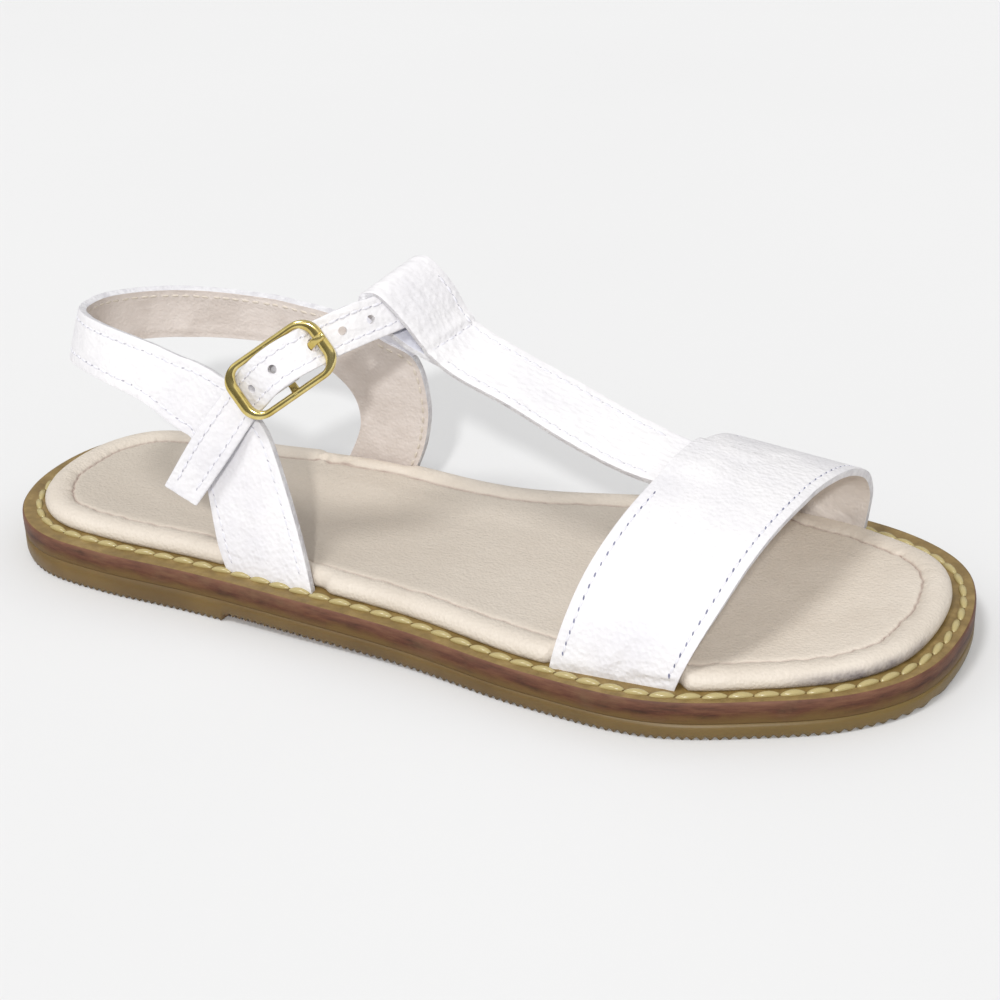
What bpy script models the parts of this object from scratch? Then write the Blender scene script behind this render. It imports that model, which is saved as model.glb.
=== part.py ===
import bpy
import bmesh
import math
from mathutils import Matrix, Vector

# Child's T-bar sandal, right foot. Lengths are in millimetres until the last step.
MM = 0.001
GAP = 0.3

# Sole stack
SOLE_LENGTH = 200.0
OUTSOLE_THICK = 3.4
MIDSOLE_THICK = 4.2
HEEL_LIFT = 1.5
HEEL_BREAST = 61.7
BREAST_RAMP = 1.5
SHANK_END = 127.0
RIB_SLANT = 7.8
TOE_SPRING = 0.3
SPRING_START = 178.0
STATIONS = 38

# Sole outline seen from above, one row for every 15 degrees from heel to toe.
# columns: lateral half width, medial half width
OUTLINE_ROWS = (
    (0.0, 0.0),
    (14.5, 16.0),
    (24.5, 27.0),
    (28.7, 30.0),
    (30.8, 28.0),
    (34.2, 25.0),
    (37.8, 25.5),
    (44.0, 31.0),
    (46.6, 36.5),
    (40.4, 35.0),
    (32.0, 28.5),
    (19.5, 17.5),
    (0.0, 0.0),
)

# Width of the bare welt ledge along the sole.
# columns: distance from the heel, ledge width
LEDGE_ROWS = (
    (0.0, 5.0),
    (40.0, 5.4),
    (90.0, 5.0),
    (125.0, 4.2),
    (160.0, 3.7),
    (185.0, 4.0),
    (200.0, 4.6),
)

# Footbed section from its outer foot to the recess.
# columns: distance in from the ledge, height, share of the strap notch
FOOTBED_ROWS = (
    (0.3, 0.0, 1.0),
    (0.0, 0.8, 1.0),
    (0.2, 1.7, 1.0),
    (0.9, 2.5, 1.0),
    (2.3, 3.1, 0.8),
    (3.8, 3.1, 0.5),
    (4.9, 2.6, 0.2),
    (5.7, 1.9, 0.0),
    (7.2, 2.1, 0.0),
)

# Places where a strap foot stands on the welt and the footbed gives way.
# columns: side, rear end, front end, distance of the notch wall from the sole edge
NOTCH_ROWS = (
    (-1, 128.0, 158.5, 6.9),
    (1, 143.0, 178.0, 7.5),
    (-1, 55.0, 81.5, 6.4),
    (1, 57.5, 81.0, 6.4),
)
NOTCH_RAMP = 3.0

# Straps
STRAP_THICK = 1.6
TBAR_THICK = 1.2
ANKLE_THICK = 1.4
EDGE_ROUND = 0.35
FOOT_INSET = 4.0

# Toe strap: two arches, one at its rear edge and one at its front edge.
# columns: lateral foot, medial foot, crest height, squareness
TOE_REAR_ARCH = (-41.0, 31.8, 36.0, 2.25)
TOE_FRONT_ARCH = (-41.8, 30.2, 32.2, 2.25)
# columns: share of the way across, rear edge, front edge
TOE_EDGE_ROWS = (
    (0.00, 130.5, 154.5),
    (0.20, 135.5, 161.5),
    (0.40, 141.5, 167.0),
    (0.60, 146.5, 172.5),
    (0.75, 149.0, 175.0),
    (0.88, 148.6, 174.8),
    (1.00, 147.0, 173.2),
)

# T-bar and its folded loop, outer face.
# columns: lateral edge x, y, z, medial edge x, y, z
TBAR_ROWS = (
    (160.0, -9.6, 31.5, 161.0, 3.6, 32.0),
    (151.0, -9.9, 32.2, 153.0, 3.4, 33.6),
    (143.0, -10.0, 32.6, 146.0, 3.2, 35.2),
    (134.5, -9.4, 34.0, 133.5, 3.5, 39.6),
    (123.5, -8.7, 38.0, 121.5, 4.0, 44.8),
    (111.0, -7.8, 43.8, 109.3, 4.5, 50.0),
    (100.0, -6.8, 48.0, 101.0, 5.6, 53.6),
    (95.2, -7.0, 51.8, 98.0, 6.0, 56.6),
    (91.2, -7.5, 57.2, 95.6, 5.7, 61.2),
    (87.2, -8.0, 61.8, 92.6, 5.0, 65.2),
    (84.6, -8.4, 63.6, 90.2, 4.8, 67.0),
    (81.8, -8.5, 62.9, 87.4, 4.6, 66.5),
    (81.7, -8.2, 60.0, 86.8, 4.8, 63.8),
    (84.9, -7.4, 54.6, 89.6, 5.4, 58.6),
    (89.2, -6.8, 49.2, 93.4, 5.9, 53.2),
    (95.0, -6.4, 45.6, 96.6, 6.0, 50.8),
)

# Heel band round the back of the foot.
# columns: angle from the heel, low edge height, top edge height
HEEL_ROWS = (
    (-90.0, 35.2, 49.7),
    (-75.0, 40.5, 52.0),
    (-50.0, 42.6, 53.1),
    (-25.0, 42.2, 52.8),
    (0.0, 40.2, 51.8),
    (30.0, 38.6, 50.5),
    (60.0, 38.1, 49.7),
    (90.0, 37.8, 48.7),
)
# Side quarters: the band turns down and stands on the welt, FOOT its height there.
# columns: rear edge x, rear edge height, front edge x, front edge height
FOOT = -1.0
LATERAL_ROWS = (
    (52.0, 32.4, 54.0, 48.7),
    (53.2, 29.2, 57.4, 47.5),
    (54.0, 26.0, 60.2, 47.3),
    (54.6, 23.4, 64.4, 42.4),
    (55.2, 20.6, 68.0, 38.3),
    (55.8, 17.6, 72.0, 29.5),
    (56.5, 14.6, 75.1, 21.0),
    (57.4, 12.0, 77.0, 14.4),
    (58.4, FOOT, 78.2, FOOT),
)
MEDIAL_ROWS = (
    (56.0, 36.4, 55.5, 48.3),
    (61.4, 33.4, 61.5, 47.9),
    (65.2, 30.2, 68.0, 46.8),
    (66.9, 26.9, 75.0, 43.1),
    (67.3, 23.6, 81.6, 39.6),
    (66.7, 20.4, 83.7, 29.5),
    (65.1, 16.6, 82.6, 21.0),
    (63.1, 12.8, 80.2, 14.4),
    (61.0, FOOT, 77.5, FOOT),
)
HEEL_TURN = 50.0
HEEL_SQUARE = 2.3
HEEL_REAR = (12.6, 38.5, 0.28)

# Ankle strap from its base on the medial quarter to its free tip, middle layer.
# columns: centre x, y, z, half width vector x, y, z
STRAP_BASE_ROWS = (
    (81.2, 16.4, 49.8, -5.0, 1.1, 3.3),
    (88.4, 12.4, 55.8, -3.4, 0.9, 3.2),
    (92.8, 6.2, 59.0, -2.3, 0.4, 3.3),
    (90.5, 1.0, 59.9, -2.2, 0.3, 3.3),
    (87.1, -6.3, 58.7, -2.1, 0.1, 3.3),
    (82.8, -11.6, 57.9, -1.8, -0.1, 3.7),
)
# columns: place along the buckle, height above the buckle frame
STRAP_BUCKLE_ROWS = (
    (9.9, -3.1),
    (6.2, -0.4),
    (3.2, 1.6),
    (0.0, 2.3),
    (-3.2, 1.6),
    (-6.2, -0.4),
    (-9.9, -3.1),
)
STRAP_TIP_ROWS = (
    (57.0, -26.2, 35.8, -3.3, 0.0, 2.4),
    (49.8, -27.6, 24.7, -3.3, 0.0, 1.7),
)
STRAP_HALF = 4.1
# Punched holes.
# columns: distance along the strap from its base, diameter
HOLE_ROWS = (
    (45.4, 1.7),
    (51.2, 1.7),
    (59.8, 3.2),
    (66.6, 1.7),
    (73.6, 1.7),
)

# Buckle
BUCKLE_LEFT = Vector((63.7, -26.5, 46.5))
BUCKLE_RIGHT = Vector((78.7, -19.0, 57.4))
BUCKLE_UP = Vector((-0.61, 0.07, 0.79))
BUCKLE_LENGTH = 21.5
BUCKLE_WIDTH = 13.0
BUCKLE_CORNER = 3.4
FRAME_RADIUS = 1.05
BAR_RADIUS = 0.8
BAR_DROP = -1.0
PRONG_RADIUS = 0.5
TAB_WIDTH = 6.8
TAB_THICK = 0.9
TAB_LENGTH = 9.4
TAB_SLOT = 2.2


def clearScene():
    for thing in list(bpy.data.objects):
        bpy.data.objects.remove(thing, do_unlink=True)


def makeCollection(name):
    group = bpy.data.collections.new(name)
    bpy.context.scene.collection.children.link(group)
    return group


def makeMaterial(name, colour, roughness, metallic):
    material = bpy.data.materials.new(name)
    material.use_nodes = True
    shader = material.node_tree.nodes["Principled BSDF"]
    shader.inputs["Base Color"].default_value = (colour[0], colour[1], colour[2], 1.0)
    shader.inputs["Roughness"].default_value = roughness
    shader.inputs["Metallic"].default_value = metallic
    return material


def blend(low, high, share):
    return low + (high - low) * share


def smoothStep(share):
    share = min(max(share, 0.0), 1.0)
    return share * share * (3.0 - 2.0 * share)


def rowDistance(first, second):
    return math.sqrt(sum((b - a) ** 2 for a, b in zip(first, second)))


def smoothRows(rows, count):
    knots = [0.0]
    for first, second in zip(rows, rows[1:]):
        knots.append(knots[-1] + rowDistance(first, second))
    width = len(rows[0])
    slopes = []
    for index in range(len(rows)):
        before = max(index - 1, 0)
        after = min(index + 1, len(rows) - 1)
        span = knots[after] - knots[before]
        slopes.append([(rows[after][k] - rows[before][k]) / span for k in range(width)])
    result = []
    place = 0
    for step in range(count + 1):
        knot = knots[-1] * step / count
        while place < len(rows) - 2 and knot > knots[place + 1]:
            place += 1
        span = knots[place + 1] - knots[place]
        t = (knot - knots[place]) / span
        a = 2 * t ** 3 - 3 * t ** 2 + 1
        b = t ** 3 - 2 * t ** 2 + t
        c = -2 * t ** 3 + 3 * t ** 2
        d = t ** 3 - t ** 2
        row = []
        for k in range(width):
            value = a * rows[place][k] + c * rows[place + 1][k]
            value += span * (b * slopes[place][k] + d * slopes[place + 1][k])
            row.append(value)
        result.append(row)
    return result


def outlineWidth(angle, column):
    step = math.radians(15.0)
    place = angle / step
    index = min(int(place), len(OUTLINE_ROWS) - 2)
    t = place - index

    def value(number):
        if number < 0:
            return -OUTLINE_ROWS[-number][column]
        last = len(OUTLINE_ROWS) - 1
        if number > last:
            return -OUTLINE_ROWS[2 * last - number][column]
        return OUTLINE_ROWS[number][column]

    p0, p1, p2, p3 = (value(index + k) for k in (-1, 0, 1, 2))
    first = 2 * p1 + (p2 - p0) * t
    second = (2 * p0 - 5 * p1 + 4 * p2 - p3) * t ** 2
    third = (3 * p1 - p0 - 3 * p2 + p3) * t ** 3
    return 0.5 * (first + second + third)


def stationX(angle):
    return SOLE_LENGTH / 2 * (1 - math.cos(angle))


def widthAt(x, column):
    share = 1 - 2 * min(max(x, 0.0), SOLE_LENGTH) / SOLE_LENGTH
    return outlineWidth(math.acos(share), column)


def outlineLoop():
    loop = []
    for index in range(STATIONS + 1):
        angle = math.pi * index / STATIONS
        loop.append((stationX(angle), -outlineWidth(angle, 0)))
    for index in range(STATIONS - 1, 0, -1):
        angle = math.pi * index / STATIONS
        loop.append((stationX(angle), outlineWidth(angle, 1)))
    return loop


def insetLoop(loop, depthAt):
    moved = []
    count = len(loop)
    for index, point in enumerate(loop):
        ahead = loop[(index + 1) % count]
        behind = loop[index - 1]
        dx = ahead[0] - behind[0]
        dy = ahead[1] - behind[1]
        size = math.hypot(dx, dy)
        depth = depthAt(point[0], point[1])
        moved.append((point[0] - dy / size * depth, point[1] + dx / size * depth))
    return moved


def liftAt(x):
    start = HEEL_BREAST - 4.0
    return HEEL_LIFT * (1 - smoothStep((x - start) / (SHANK_END - start)))


def springAt(x):
    share = max(x - SPRING_START, 0.0) / (SOLE_LENGTH - SPRING_START)
    return TOE_SPRING * share * share


def ledgeHeight(x):
    return OUTSOLE_THICK + GAP + MIDSOLE_THICK + liftAt(x) + springAt(x)


def footHeight(x):
    return ledgeHeight(x) + GAP


def ledgeWidth(x):
    for first, second in zip(LEDGE_ROWS, LEDGE_ROWS[1:]):
        if x <= second[0]:
            share = (x - first[0]) / (second[0] - first[0])
            return blend(first[1], second[1], smoothStep(share))
    return LEDGE_ROWS[-1][1]


def notchAt(x, y):
    depth = 0.0
    for side, rear, front, wall in NOTCH_ROWS:
        if side * y > 0:
            rise = smoothStep((x - rear) / NOTCH_RAMP)
            fall = smoothStep((front - x) / NOTCH_RAMP)
            depth = max(depth, (wall - ledgeWidth(x)) * rise * fall)
    return depth


baseLoop = outlineLoop()
lowY = min(point[1] for point in baseLoop)
highY = max(point[1] for point in baseLoop)
SHIFT = Vector((-SOLE_LENGTH / 2, -(lowY + highY) / 2, 0.0))


def toWorld(point):
    return (Vector(point) + SHIFT) * MM


def finishMesh(name, build, material, group, smooth):
    bmesh.ops.recalc_face_normals(build, faces=build.faces)
    mesh = bpy.data.meshes.new(name)
    build.to_mesh(mesh)
    build.free()
    for face in mesh.polygons:
        face.use_smooth = smooth
    thing = bpy.data.objects.new(name, mesh)
    if material:
        mesh.materials.append(material)
    group.objects.link(thing)
    return thing


def fillAcross(build, ring, columns, flip):
    half = len(ring) // 2
    rows = []
    for index in range(1, half):
        left = ring[index]
        right = ring[len(ring) - index]
        row = [left]
        for column in range(1, columns):
            row.append(build.verts.new(left.co.lerp(right.co, column / columns)))
        row.append(right)
        rows.append(row)
    faces = []
    for column in range(columns):
        faces.append((ring[0], rows[0][column + 1], rows[0][column]))
        faces.append((ring[half], rows[-1][column], rows[-1][column + 1]))
    for first, second in zip(rows, rows[1:]):
        for column in range(columns):
            faces.append((first[column], first[column + 1], second[column + 1], second[column]))
    for face in faces:
        build.faces.new(face if not flip else face[::-1])


def ringSolid(name, loops, columns, material, group):
    build = bmesh.new()
    rings = [[build.verts.new(toWorld(point)) for point in loop] for loop in loops]
    count = len(rings[0])
    for low, high in zip(rings, rings[1:]):
        for index in range(count):
            after = (index + 1) % count
            build.faces.new((low[index], low[after], high[after], high[index]))
    fillAcross(build, rings[0], columns, False)
    fillAcross(build, rings[-1], columns, True)
    return finishMesh(name, build, material, group, True)


def soleLoop(depth, heightAt):
    loop = insetLoop(baseLoop, lambda x, y: depth)
    return [(x, y, heightAt(x)) for x, y in loop]


def stripMesh(name, sections, material, group):
    build = bmesh.new()
    grid = [[build.verts.new(toWorld(point)) for point in section] for section in sections]
    for first, second in zip(grid, grid[1:]):
        for index in range(len(first) - 1):
            build.faces.new((first[index], first[index + 1], second[index + 1], second[index]))
    mesh = bpy.data.meshes.new(name)
    build.to_mesh(mesh)
    build.free()
    for face in mesh.polygons:
        face.use_smooth = True
    thing = bpy.data.objects.new(name, mesh)
    mesh.materials.append(material)
    group.objects.link(thing)
    return thing


def thicken(thing, thickness, offset):
    solid = thing.modifiers.new("Leather", "SOLIDIFY")
    solid.thickness = thickness * MM
    solid.offset = offset
    solid.use_even_offset = False
    solid.use_quality_normals = True
    edge = thing.modifiers.new("Edge", "BEVEL")
    edge.width = EDGE_ROUND * MM
    edge.segments = 1
    edge.limit_method = "ANGLE"
    edge.angle_limit = math.radians(55.0)


def bakeModifiers(thing):
    graph = bpy.context.evaluated_depsgraph_get()
    graph.update()
    mesh = bpy.data.meshes.new_from_object(thing.evaluated_get(graph))
    mesh.name = thing.name
    thing.modifiers.clear()
    thing.data = mesh


def combine(thing, other, operation):
    step = thing.modifiers.new(operation.title(), "BOOLEAN")
    step.operation = operation
    step.solver = "EXACT"
    step.object = other


def hideTool(thing):
    thing.hide_render = True
    thing.display_type = "WIRE"


def boxMesh(name, corners, group):
    build = bmesh.new()
    bmesh.ops.create_cube(build, size=1.0)
    for vert in build.verts:
        vert.co = corners(vert.co)
    thing = finishMesh(name, build, None, group, False)
    hideTool(thing)
    return thing


def tubeBetween(name, start, end, radius, sides, group):
    build = bmesh.new()
    first = toWorld(start)
    last = toWorld(end)
    axis = last - first
    turn = Vector((0.0, 0.0, 1.0)).rotation_difference(axis).to_matrix().to_4x4()
    place = Matrix.Translation((first + last) / 2) @ turn
    bmesh.ops.create_cone(build, cap_ends=True, segments=sides, radius1=radius * MM,
                          radius2=radius * MM, depth=axis.length, matrix=place)
    return finishMesh(name, build, None, group, False)


def wireMesh(name, points, radius, cyclic, resolution, group):
    path = bpy.data.curves.new(name + " path", "CURVE")
    path.dimensions = "3D"
    path.bevel_depth = radius * MM
    path.bevel_resolution = resolution
    path.use_fill_caps = True
    spline = path.splines.new("POLY")
    spline.points.add(len(points) - 1)
    for knot, point in zip(spline.points, points):
        place = toWorld(point)
        knot.co = (place.x, place.y, place.z, 1.0)
    spline.use_cyclic_u = cyclic
    holder = bpy.data.objects.new(name + " path", path)
    group.objects.link(holder)
    graph = bpy.context.evaluated_depsgraph_get()
    graph.update()
    mesh = bpy.data.meshes.new_from_object(holder.evaluated_get(graph))
    mesh.name = name
    bpy.data.objects.remove(holder, do_unlink=True)
    build = bmesh.new()
    build.from_mesh(mesh)
    bmesh.ops.remove_doubles(build, verts=build.verts, dist=0.00001)
    bmesh.ops.recalc_face_normals(build, faces=build.faces)
    build.to_mesh(mesh)
    build.free()
    for face in mesh.polygons:
        face.use_smooth = True
    thing = bpy.data.objects.new(name, mesh)
    group.objects.link(thing)
    return thing


def leanAt(height, side):
    rise = max(height - 10.0, 0.0)
    lean = 0.12 * rise + 0.0020 * rise * rise
    return lean if side < 0 else 0.5 * lean


def wallHalf(x, height, side):
    column = 0 if side < 0 else 1
    return widthAt(x, column) - FOOT_INSET - leanAt(height, side)


def wallPoint(x, height, side):
    return (x, side * wallHalf(x, height, side), height)


def heelPoint(angle, height):
    side = -1 if angle < 0 else 1
    rear = HEEL_REAR[0] + HEEL_REAR[2] * (height - HEEL_REAR[1])
    power = 2.0 / HEEL_SQUARE
    turn = math.radians(abs(angle))
    x = HEEL_TURN - (HEEL_TURN - rear) * math.cos(turn) ** power
    y = wallHalf(HEEL_TURN, height, side) * math.sin(turn) ** power
    return (x, side * y, height)


def quarterSections(rows, side, steps, across):
    full = []
    for rearX, rearZ, frontX, frontZ in rows:
        if rearZ == FOOT:
            rearZ = footHeight(rearX)
            frontZ = footHeight(frontX)
        full.append((rearX, rearZ, frontX, frontZ))
    sections = []
    for rearX, rearZ, frontX, frontZ in smoothRows(full, steps):
        section = []
        for index in range(across + 1):
            share = index / across
            x = blend(rearX, frontX, share)
            height = max(blend(rearZ, frontZ, share), footHeight(x))
            section.append(wallPoint(x, height, side))
        sections.append(section)
    return sections


def backSections(across):
    heel = []
    for angle, low, top in smoothRows(HEEL_ROWS, 24):
        row = [heelPoint(angle, blend(low, top, index / across)) for index in range(across + 1)]
        heel.append(row)
    start = HEEL_ROWS[0]
    end = HEEL_ROWS[-1]
    lateral = ((HEEL_TURN, start[1], HEEL_TURN, start[2]),) + LATERAL_ROWS
    medial = ((HEEL_TURN, end[1], HEEL_TURN, end[2]),) + MEDIAL_ROWS
    front = quarterSections(lateral, -1, 26, across)
    back = quarterSections(medial, 1, 30, across)
    return front[:0:-1] + heel + back[1:]


def toeArch(arch, share):
    lateral, medial, crest, square = arch
    turn = math.pi * share
    middle = (lateral + medial) / 2
    half = (medial - lateral) / 2
    power = 2.0 / square
    cosine = math.cos(turn)
    sideways = math.copysign(abs(cosine) ** power, cosine)
    return middle - half * sideways, abs(math.sin(turn)) ** power, crest


def toeSections(steps, across):
    sections = []
    for step in range(steps + 1):
        share = step / steps
        table = TOE_EDGE_ROWS
        place = 0
        while place < len(table) - 2 and share > table[place + 1][0]:
            place += 1
        part = (share - table[place][0]) / (table[place + 1][0] - table[place][0])
        rear = blend(table[place][1], table[place + 1][1], part)
        front = blend(table[place][2], table[place + 1][2], part)
        rearY, rearRise, rearCrest = toeArch(TOE_REAR_ARCH, share)
        frontY, frontRise, frontCrest = toeArch(TOE_FRONT_ARCH, share)
        section = []
        for index in range(across + 1):
            along = index / across
            x = blend(rear, front, along)
            foot = footHeight(x)
            crest = blend(rearCrest, frontCrest, along)
            rise = blend(rearRise, frontRise, along)
            y = blend(rearY, frontY, along)
            section.append((x, y, foot + (crest - foot) * rise))
        sections.append(section)
    return smoothSections(sections)


def smoothSections(sections):
    result = [sections[0]]
    for before, middle, after in zip(sections, sections[1:], sections[2:]):
        row = []
        for a, b, c in zip(before, middle, after):
            row.append((0.25 * a[0] + 0.5 * b[0] + 0.25 * c[0], b[1], b[2]))
        result.append(row)
    result.append(sections[-1])
    return result


def tbarSections(steps, across):
    sections = []
    for row in smoothRows(TBAR_ROWS, steps):
        left = Vector(row[0:3])
        right = Vector(row[3:6])
        sections.append([tuple(left.lerp(right, k / across)) for k in range(across + 1)])
    return sections


along = (BUCKLE_RIGHT - BUCKLE_LEFT).normalized()
upward = (BUCKLE_UP - along * BUCKLE_UP.dot(along)).normalized()
outward = along.cross(upward)
buckleCentre = (BUCKLE_LEFT + BUCKLE_RIGHT) / 2


def bucklePoint(d, w, n):
    return buckleCentre + along * d + upward * w + outward * n


def strapRows():
    rear = Vector(wallPoint(68.6, 47.4, 1))
    front = Vector(wallPoint(82.6, 40.2, 1))
    inner = Vector((0.0, -ANKLE_THICK / 2, 0.0))
    middle = (rear + front) / 2 + inner
    half = (rear - front) / 2
    rows = [(*middle, *half)]
    rows += [tuple(row) for row in STRAP_BASE_ROWS]
    for d, n in STRAP_BUCKLE_ROWS:
        rows.append((*bucklePoint(d, 0.0, n), *(upward * STRAP_HALF)))
    rows += [tuple(row) for row in STRAP_TIP_ROWS]
    return rows


def strapSections(steps, across):
    sections = []
    for row in smoothRows(strapRows(), steps):
        middle = Vector(row[0:3])
        half = Vector(row[3:6])
        section = []
        for index in range(across + 1):
            section.append(tuple(middle + half * (1 - 2 * index / across)))
        sections.append(section)
    return sections


def buildOutsole(material, group, tools):
    lower = soleLoop(1.1, springAt)
    edge = soleLoop(0.6, lambda x: 0.6 + springAt(x))
    top = soleLoop(0.35, lambda x: OUTSOLE_THICK + liftAt(x) + springAt(x))
    sole = ringSolid("outsole", [lower, edge, top], 3, material, group)
    slant = math.radians(-RIB_SLANT)
    normal = Vector((math.cos(slant), math.sin(slant), 0.0))
    across = Vector((-normal.y, normal.x, 0.0))
    profile = [(HEEL_BREAST, -3.0), (HEEL_BREAST, 0.0)]
    start = HEEL_BREAST + BREAST_RAMP
    for step in range(8):
        place = blend(start, SHANK_END, step / 7)
        profile.append((place, liftAt(place) if step < 7 else -0.05))
    profile.append((SHANK_END, -3.0))
    build = bmesh.new()
    ends = []
    for reach in (-75.0, 75.0):
        ends.append([build.verts.new(toWorld(normal * s + across * reach + Vector((0, 0, z))))
                     for s, z in profile])
    build.faces.new(ends[0])
    build.faces.new(ends[1][::-1])
    for index in range(len(profile)):
        after = (index + 1) % len(profile)
        build.faces.new((ends[0][index], ends[1][index], ends[1][after], ends[0][after]))
    cutter = finishMesh("shank cutter", build, None, tools, False)
    hideTool(cutter)
    combine(sole, cutter, "DIFFERENCE")
    return sole


def buildMidsole(material, group):
    base = OUTSOLE_THICK + GAP
    lower = soleLoop(0.35, lambda x: base + liftAt(x) + springAt(x))
    edge = soleLoop(0.05, lambda x: ledgeHeight(x) - 0.4)
    top = soleLoop(0.45, ledgeHeight)
    return ringSolid("midsole", [lower, edge, top], 3, material, group)


def buildInsole(material, group):
    loops = []
    for depth, height, share in FOOTBED_ROWS:
        loop = insetLoop(baseLoop, lambda x, y: ledgeWidth(x) + depth + share * notchAt(x, y))
        loops.append([(x, y, footHeight(x) + height) for x, y in loop])
    return ringSolid("insole", loops, 4, material, group)


def buildFrontUpper(material, group, tools):
    upper = stripMesh("front_upper", toeSections(36, 4), material, group)
    thicken(upper, STRAP_THICK, -1.0)
    bakeModifiers(upper)
    bar = stripMesh("t bar", tbarSections(48, 4), material, tools)
    thicken(bar, TBAR_THICK, -1.0)
    bakeModifiers(bar)
    hideTool(bar)
    combine(upper, bar, "UNION")
    return upper


def buildBackUpper(material, group):
    upper = stripMesh("back_upper", backSections(5), material, group)
    thicken(upper, STRAP_THICK, -1.0)
    bakeModifiers(upper)
    return upper


def buildAnkleStrap(material, group, tools):
    steps = 72
    sections = strapSections(steps, 2)
    strap = stripMesh("ankle_strap", sections, material, group)
    thicken(strap, ANKLE_THICK, 0.0)
    bakeModifiers(strap)
    middles = [Vector(section[1]) for section in sections]
    lengths = [0.0]
    for first, second in zip(middles, middles[1:]):
        lengths.append(lengths[-1] + (second - first).length)
    for number, (distance, size) in enumerate(HOLE_ROWS):
        place = max(k for k in range(steps) if lengths[k] <= distance)
        share = (distance - lengths[place]) / (lengths[place + 1] - lengths[place])
        middle = middles[place].lerp(middles[place + 1], share)
        travel = (middles[place + 1] - middles[place]).normalized()
        across = (Vector(sections[place][0]) - Vector(sections[place][2])).normalized()
        facing = travel.cross(across).normalized()
        punch = tubeBetween("punch %d" % number, middle - facing * 3.0,
                            middle + facing * 3.0, size / 2, 10, tools)
        hideTool(punch)
        combine(strap, punch, "DIFFERENCE")
    return strap


def buildBuckle(material, group, tools):
    points = []
    reach = BUCKLE_LENGTH / 2 - FRAME_RADIUS
    rise = BUCKLE_WIDTH / 2 - FRAME_RADIUS
    for corner, (sideD, sideW) in enumerate(((1, 1), (-1, 1), (-1, -1), (1, -1))):
        for step in range(7):
            turn = math.radians(90.0 * corner + 15.0 * step)
            d = sideD * (reach - BUCKLE_CORNER) + BUCKLE_CORNER * math.cos(turn)
            w = sideW * (rise - BUCKLE_CORNER) + BUCKLE_CORNER * math.sin(turn)
            points.append(bucklePoint(d, w, 0.0))
    frame = wireMesh("buckle_frame", points, FRAME_RADIUS, True, 2, group)
    frame.data.materials.clear()
    frame.data.materials.append(material)
    bar = tubeBetween("buckle bar", bucklePoint(0.0, -rise, BAR_DROP),
                      bucklePoint(0.0, rise, BAR_DROP), BAR_RADIUS, 12, tools)
    hideTool(bar)
    combine(frame, bar, "UNION")
    return frame


def buildProng(material, group):
    ring = BAR_RADIUS + 0.25 + PRONG_RADIUS
    points = []
    for step in range(12):
        turn = math.radians(30.0 + 263.0 * step / 11)
        points.append(bucklePoint(ring * math.cos(turn), 0.0, BAR_DROP + ring * math.sin(turn)))
    rest = FRAME_RADIUS + PRONG_RADIUS + 0.3
    tip = BUCKLE_LENGTH / 2 - FRAME_RADIUS
    points.append(bucklePoint(tip - 0.6, 0.0, rest - 0.1))
    points.append(bucklePoint(tip + 1.9, 0.0, rest + 0.1))
    prong = wireMesh("buckle_prong", points, PRONG_RADIUS, False, 2, group)
    prong.data.materials.clear()
    prong.data.materials.append(material)
    return prong


def buildTab(material, group, tools):
    eye = BAR_RADIUS + 0.25 + TAB_THICK
    profile = []
    for step in range(13):
        turn = math.radians(-115.0 + 235.0 * step / 12)
        profile.append((eye * math.cos(turn), BAR_DROP + eye * math.sin(turn)))
    profile.append((-TAB_LENGTH, -4.6))
    profile.append((-TAB_LENGTH, -4.6 - 2 * TAB_THICK + 0.2))
    build = bmesh.new()
    ends = []
    for w in (-TAB_WIDTH / 2, TAB_WIDTH / 2):
        ends.append([build.verts.new(toWorld(bucklePoint(d, w, n))) for d, n in profile])
    build.faces.new(ends[0])
    build.faces.new(ends[1][::-1])
    for index in range(len(profile)):
        after = (index + 1) % len(profile)
        build.faces.new((ends[0][index], ends[1][index], ends[1][after], ends[0][after]))
    tab = finishMesh("buckle_tab", build, material, group, False)
    bore = tubeBetween("tab bore", bucklePoint(0.0, -TAB_WIDTH, BAR_DROP),
                       bucklePoint(0.0, TAB_WIDTH, BAR_DROP), BAR_RADIUS + 0.25, 16, tools)
    hideTool(bore)
    combine(tab, bore, "DIFFERENCE")

    def slot(corner):
        d = -2.9 + (corner.x + 0.5) * 7.0
        return toWorld(bucklePoint(d, corner.y * TAB_SLOT, -5.0 + (corner.z + 0.5) * 8.0))

    gate = boxMesh("tab slot", slot, tools)
    combine(tab, gate, "DIFFERENCE")
    return tab


clearScene()
sandal = makeCollection("sandal")
tools = makeCollection("sandal cutters")
whiteLeather = makeMaterial("white leather", (0.82, 0.82, 0.84), 0.55, 0.0)
backLeather = makeMaterial("white leather back", (0.82, 0.82, 0.84), 0.55, 0.0)
strapLeather = makeMaterial("white leather strap", (0.82, 0.82, 0.84), 0.55, 0.0)
tabLeather = makeMaterial("white leather tab", (0.78, 0.78, 0.80), 0.55, 0.0)
footbedLeather = makeMaterial("beige lining leather", (0.68, 0.60, 0.50), 0.6, 0.0)
board = makeMaterial("brown leatherboard", (0.22, 0.12, 0.07), 0.6, 0.0)
gum = makeMaterial("gum rubber", (0.30, 0.15, 0.04), 0.45, 0.0)
brass = makeMaterial("gold plate", (0.80, 0.62, 0.25), 0.2, 1.0)
steel = makeMaterial("gold plate prong", (0.80, 0.62, 0.25), 0.25, 1.0)

buildOutsole(gum, sandal, tools)
buildMidsole(board, sandal)
buildInsole(footbedLeather, sandal)
buildFrontUpper(whiteLeather, sandal, tools)
buildBackUpper(backLeather, sandal)
buildAnkleStrap(strapLeather, sandal, tools)
buildBuckle(brass, sandal, tools)
buildProng(steel, sandal)
buildTab(tabLeather, sandal, tools)
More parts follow.
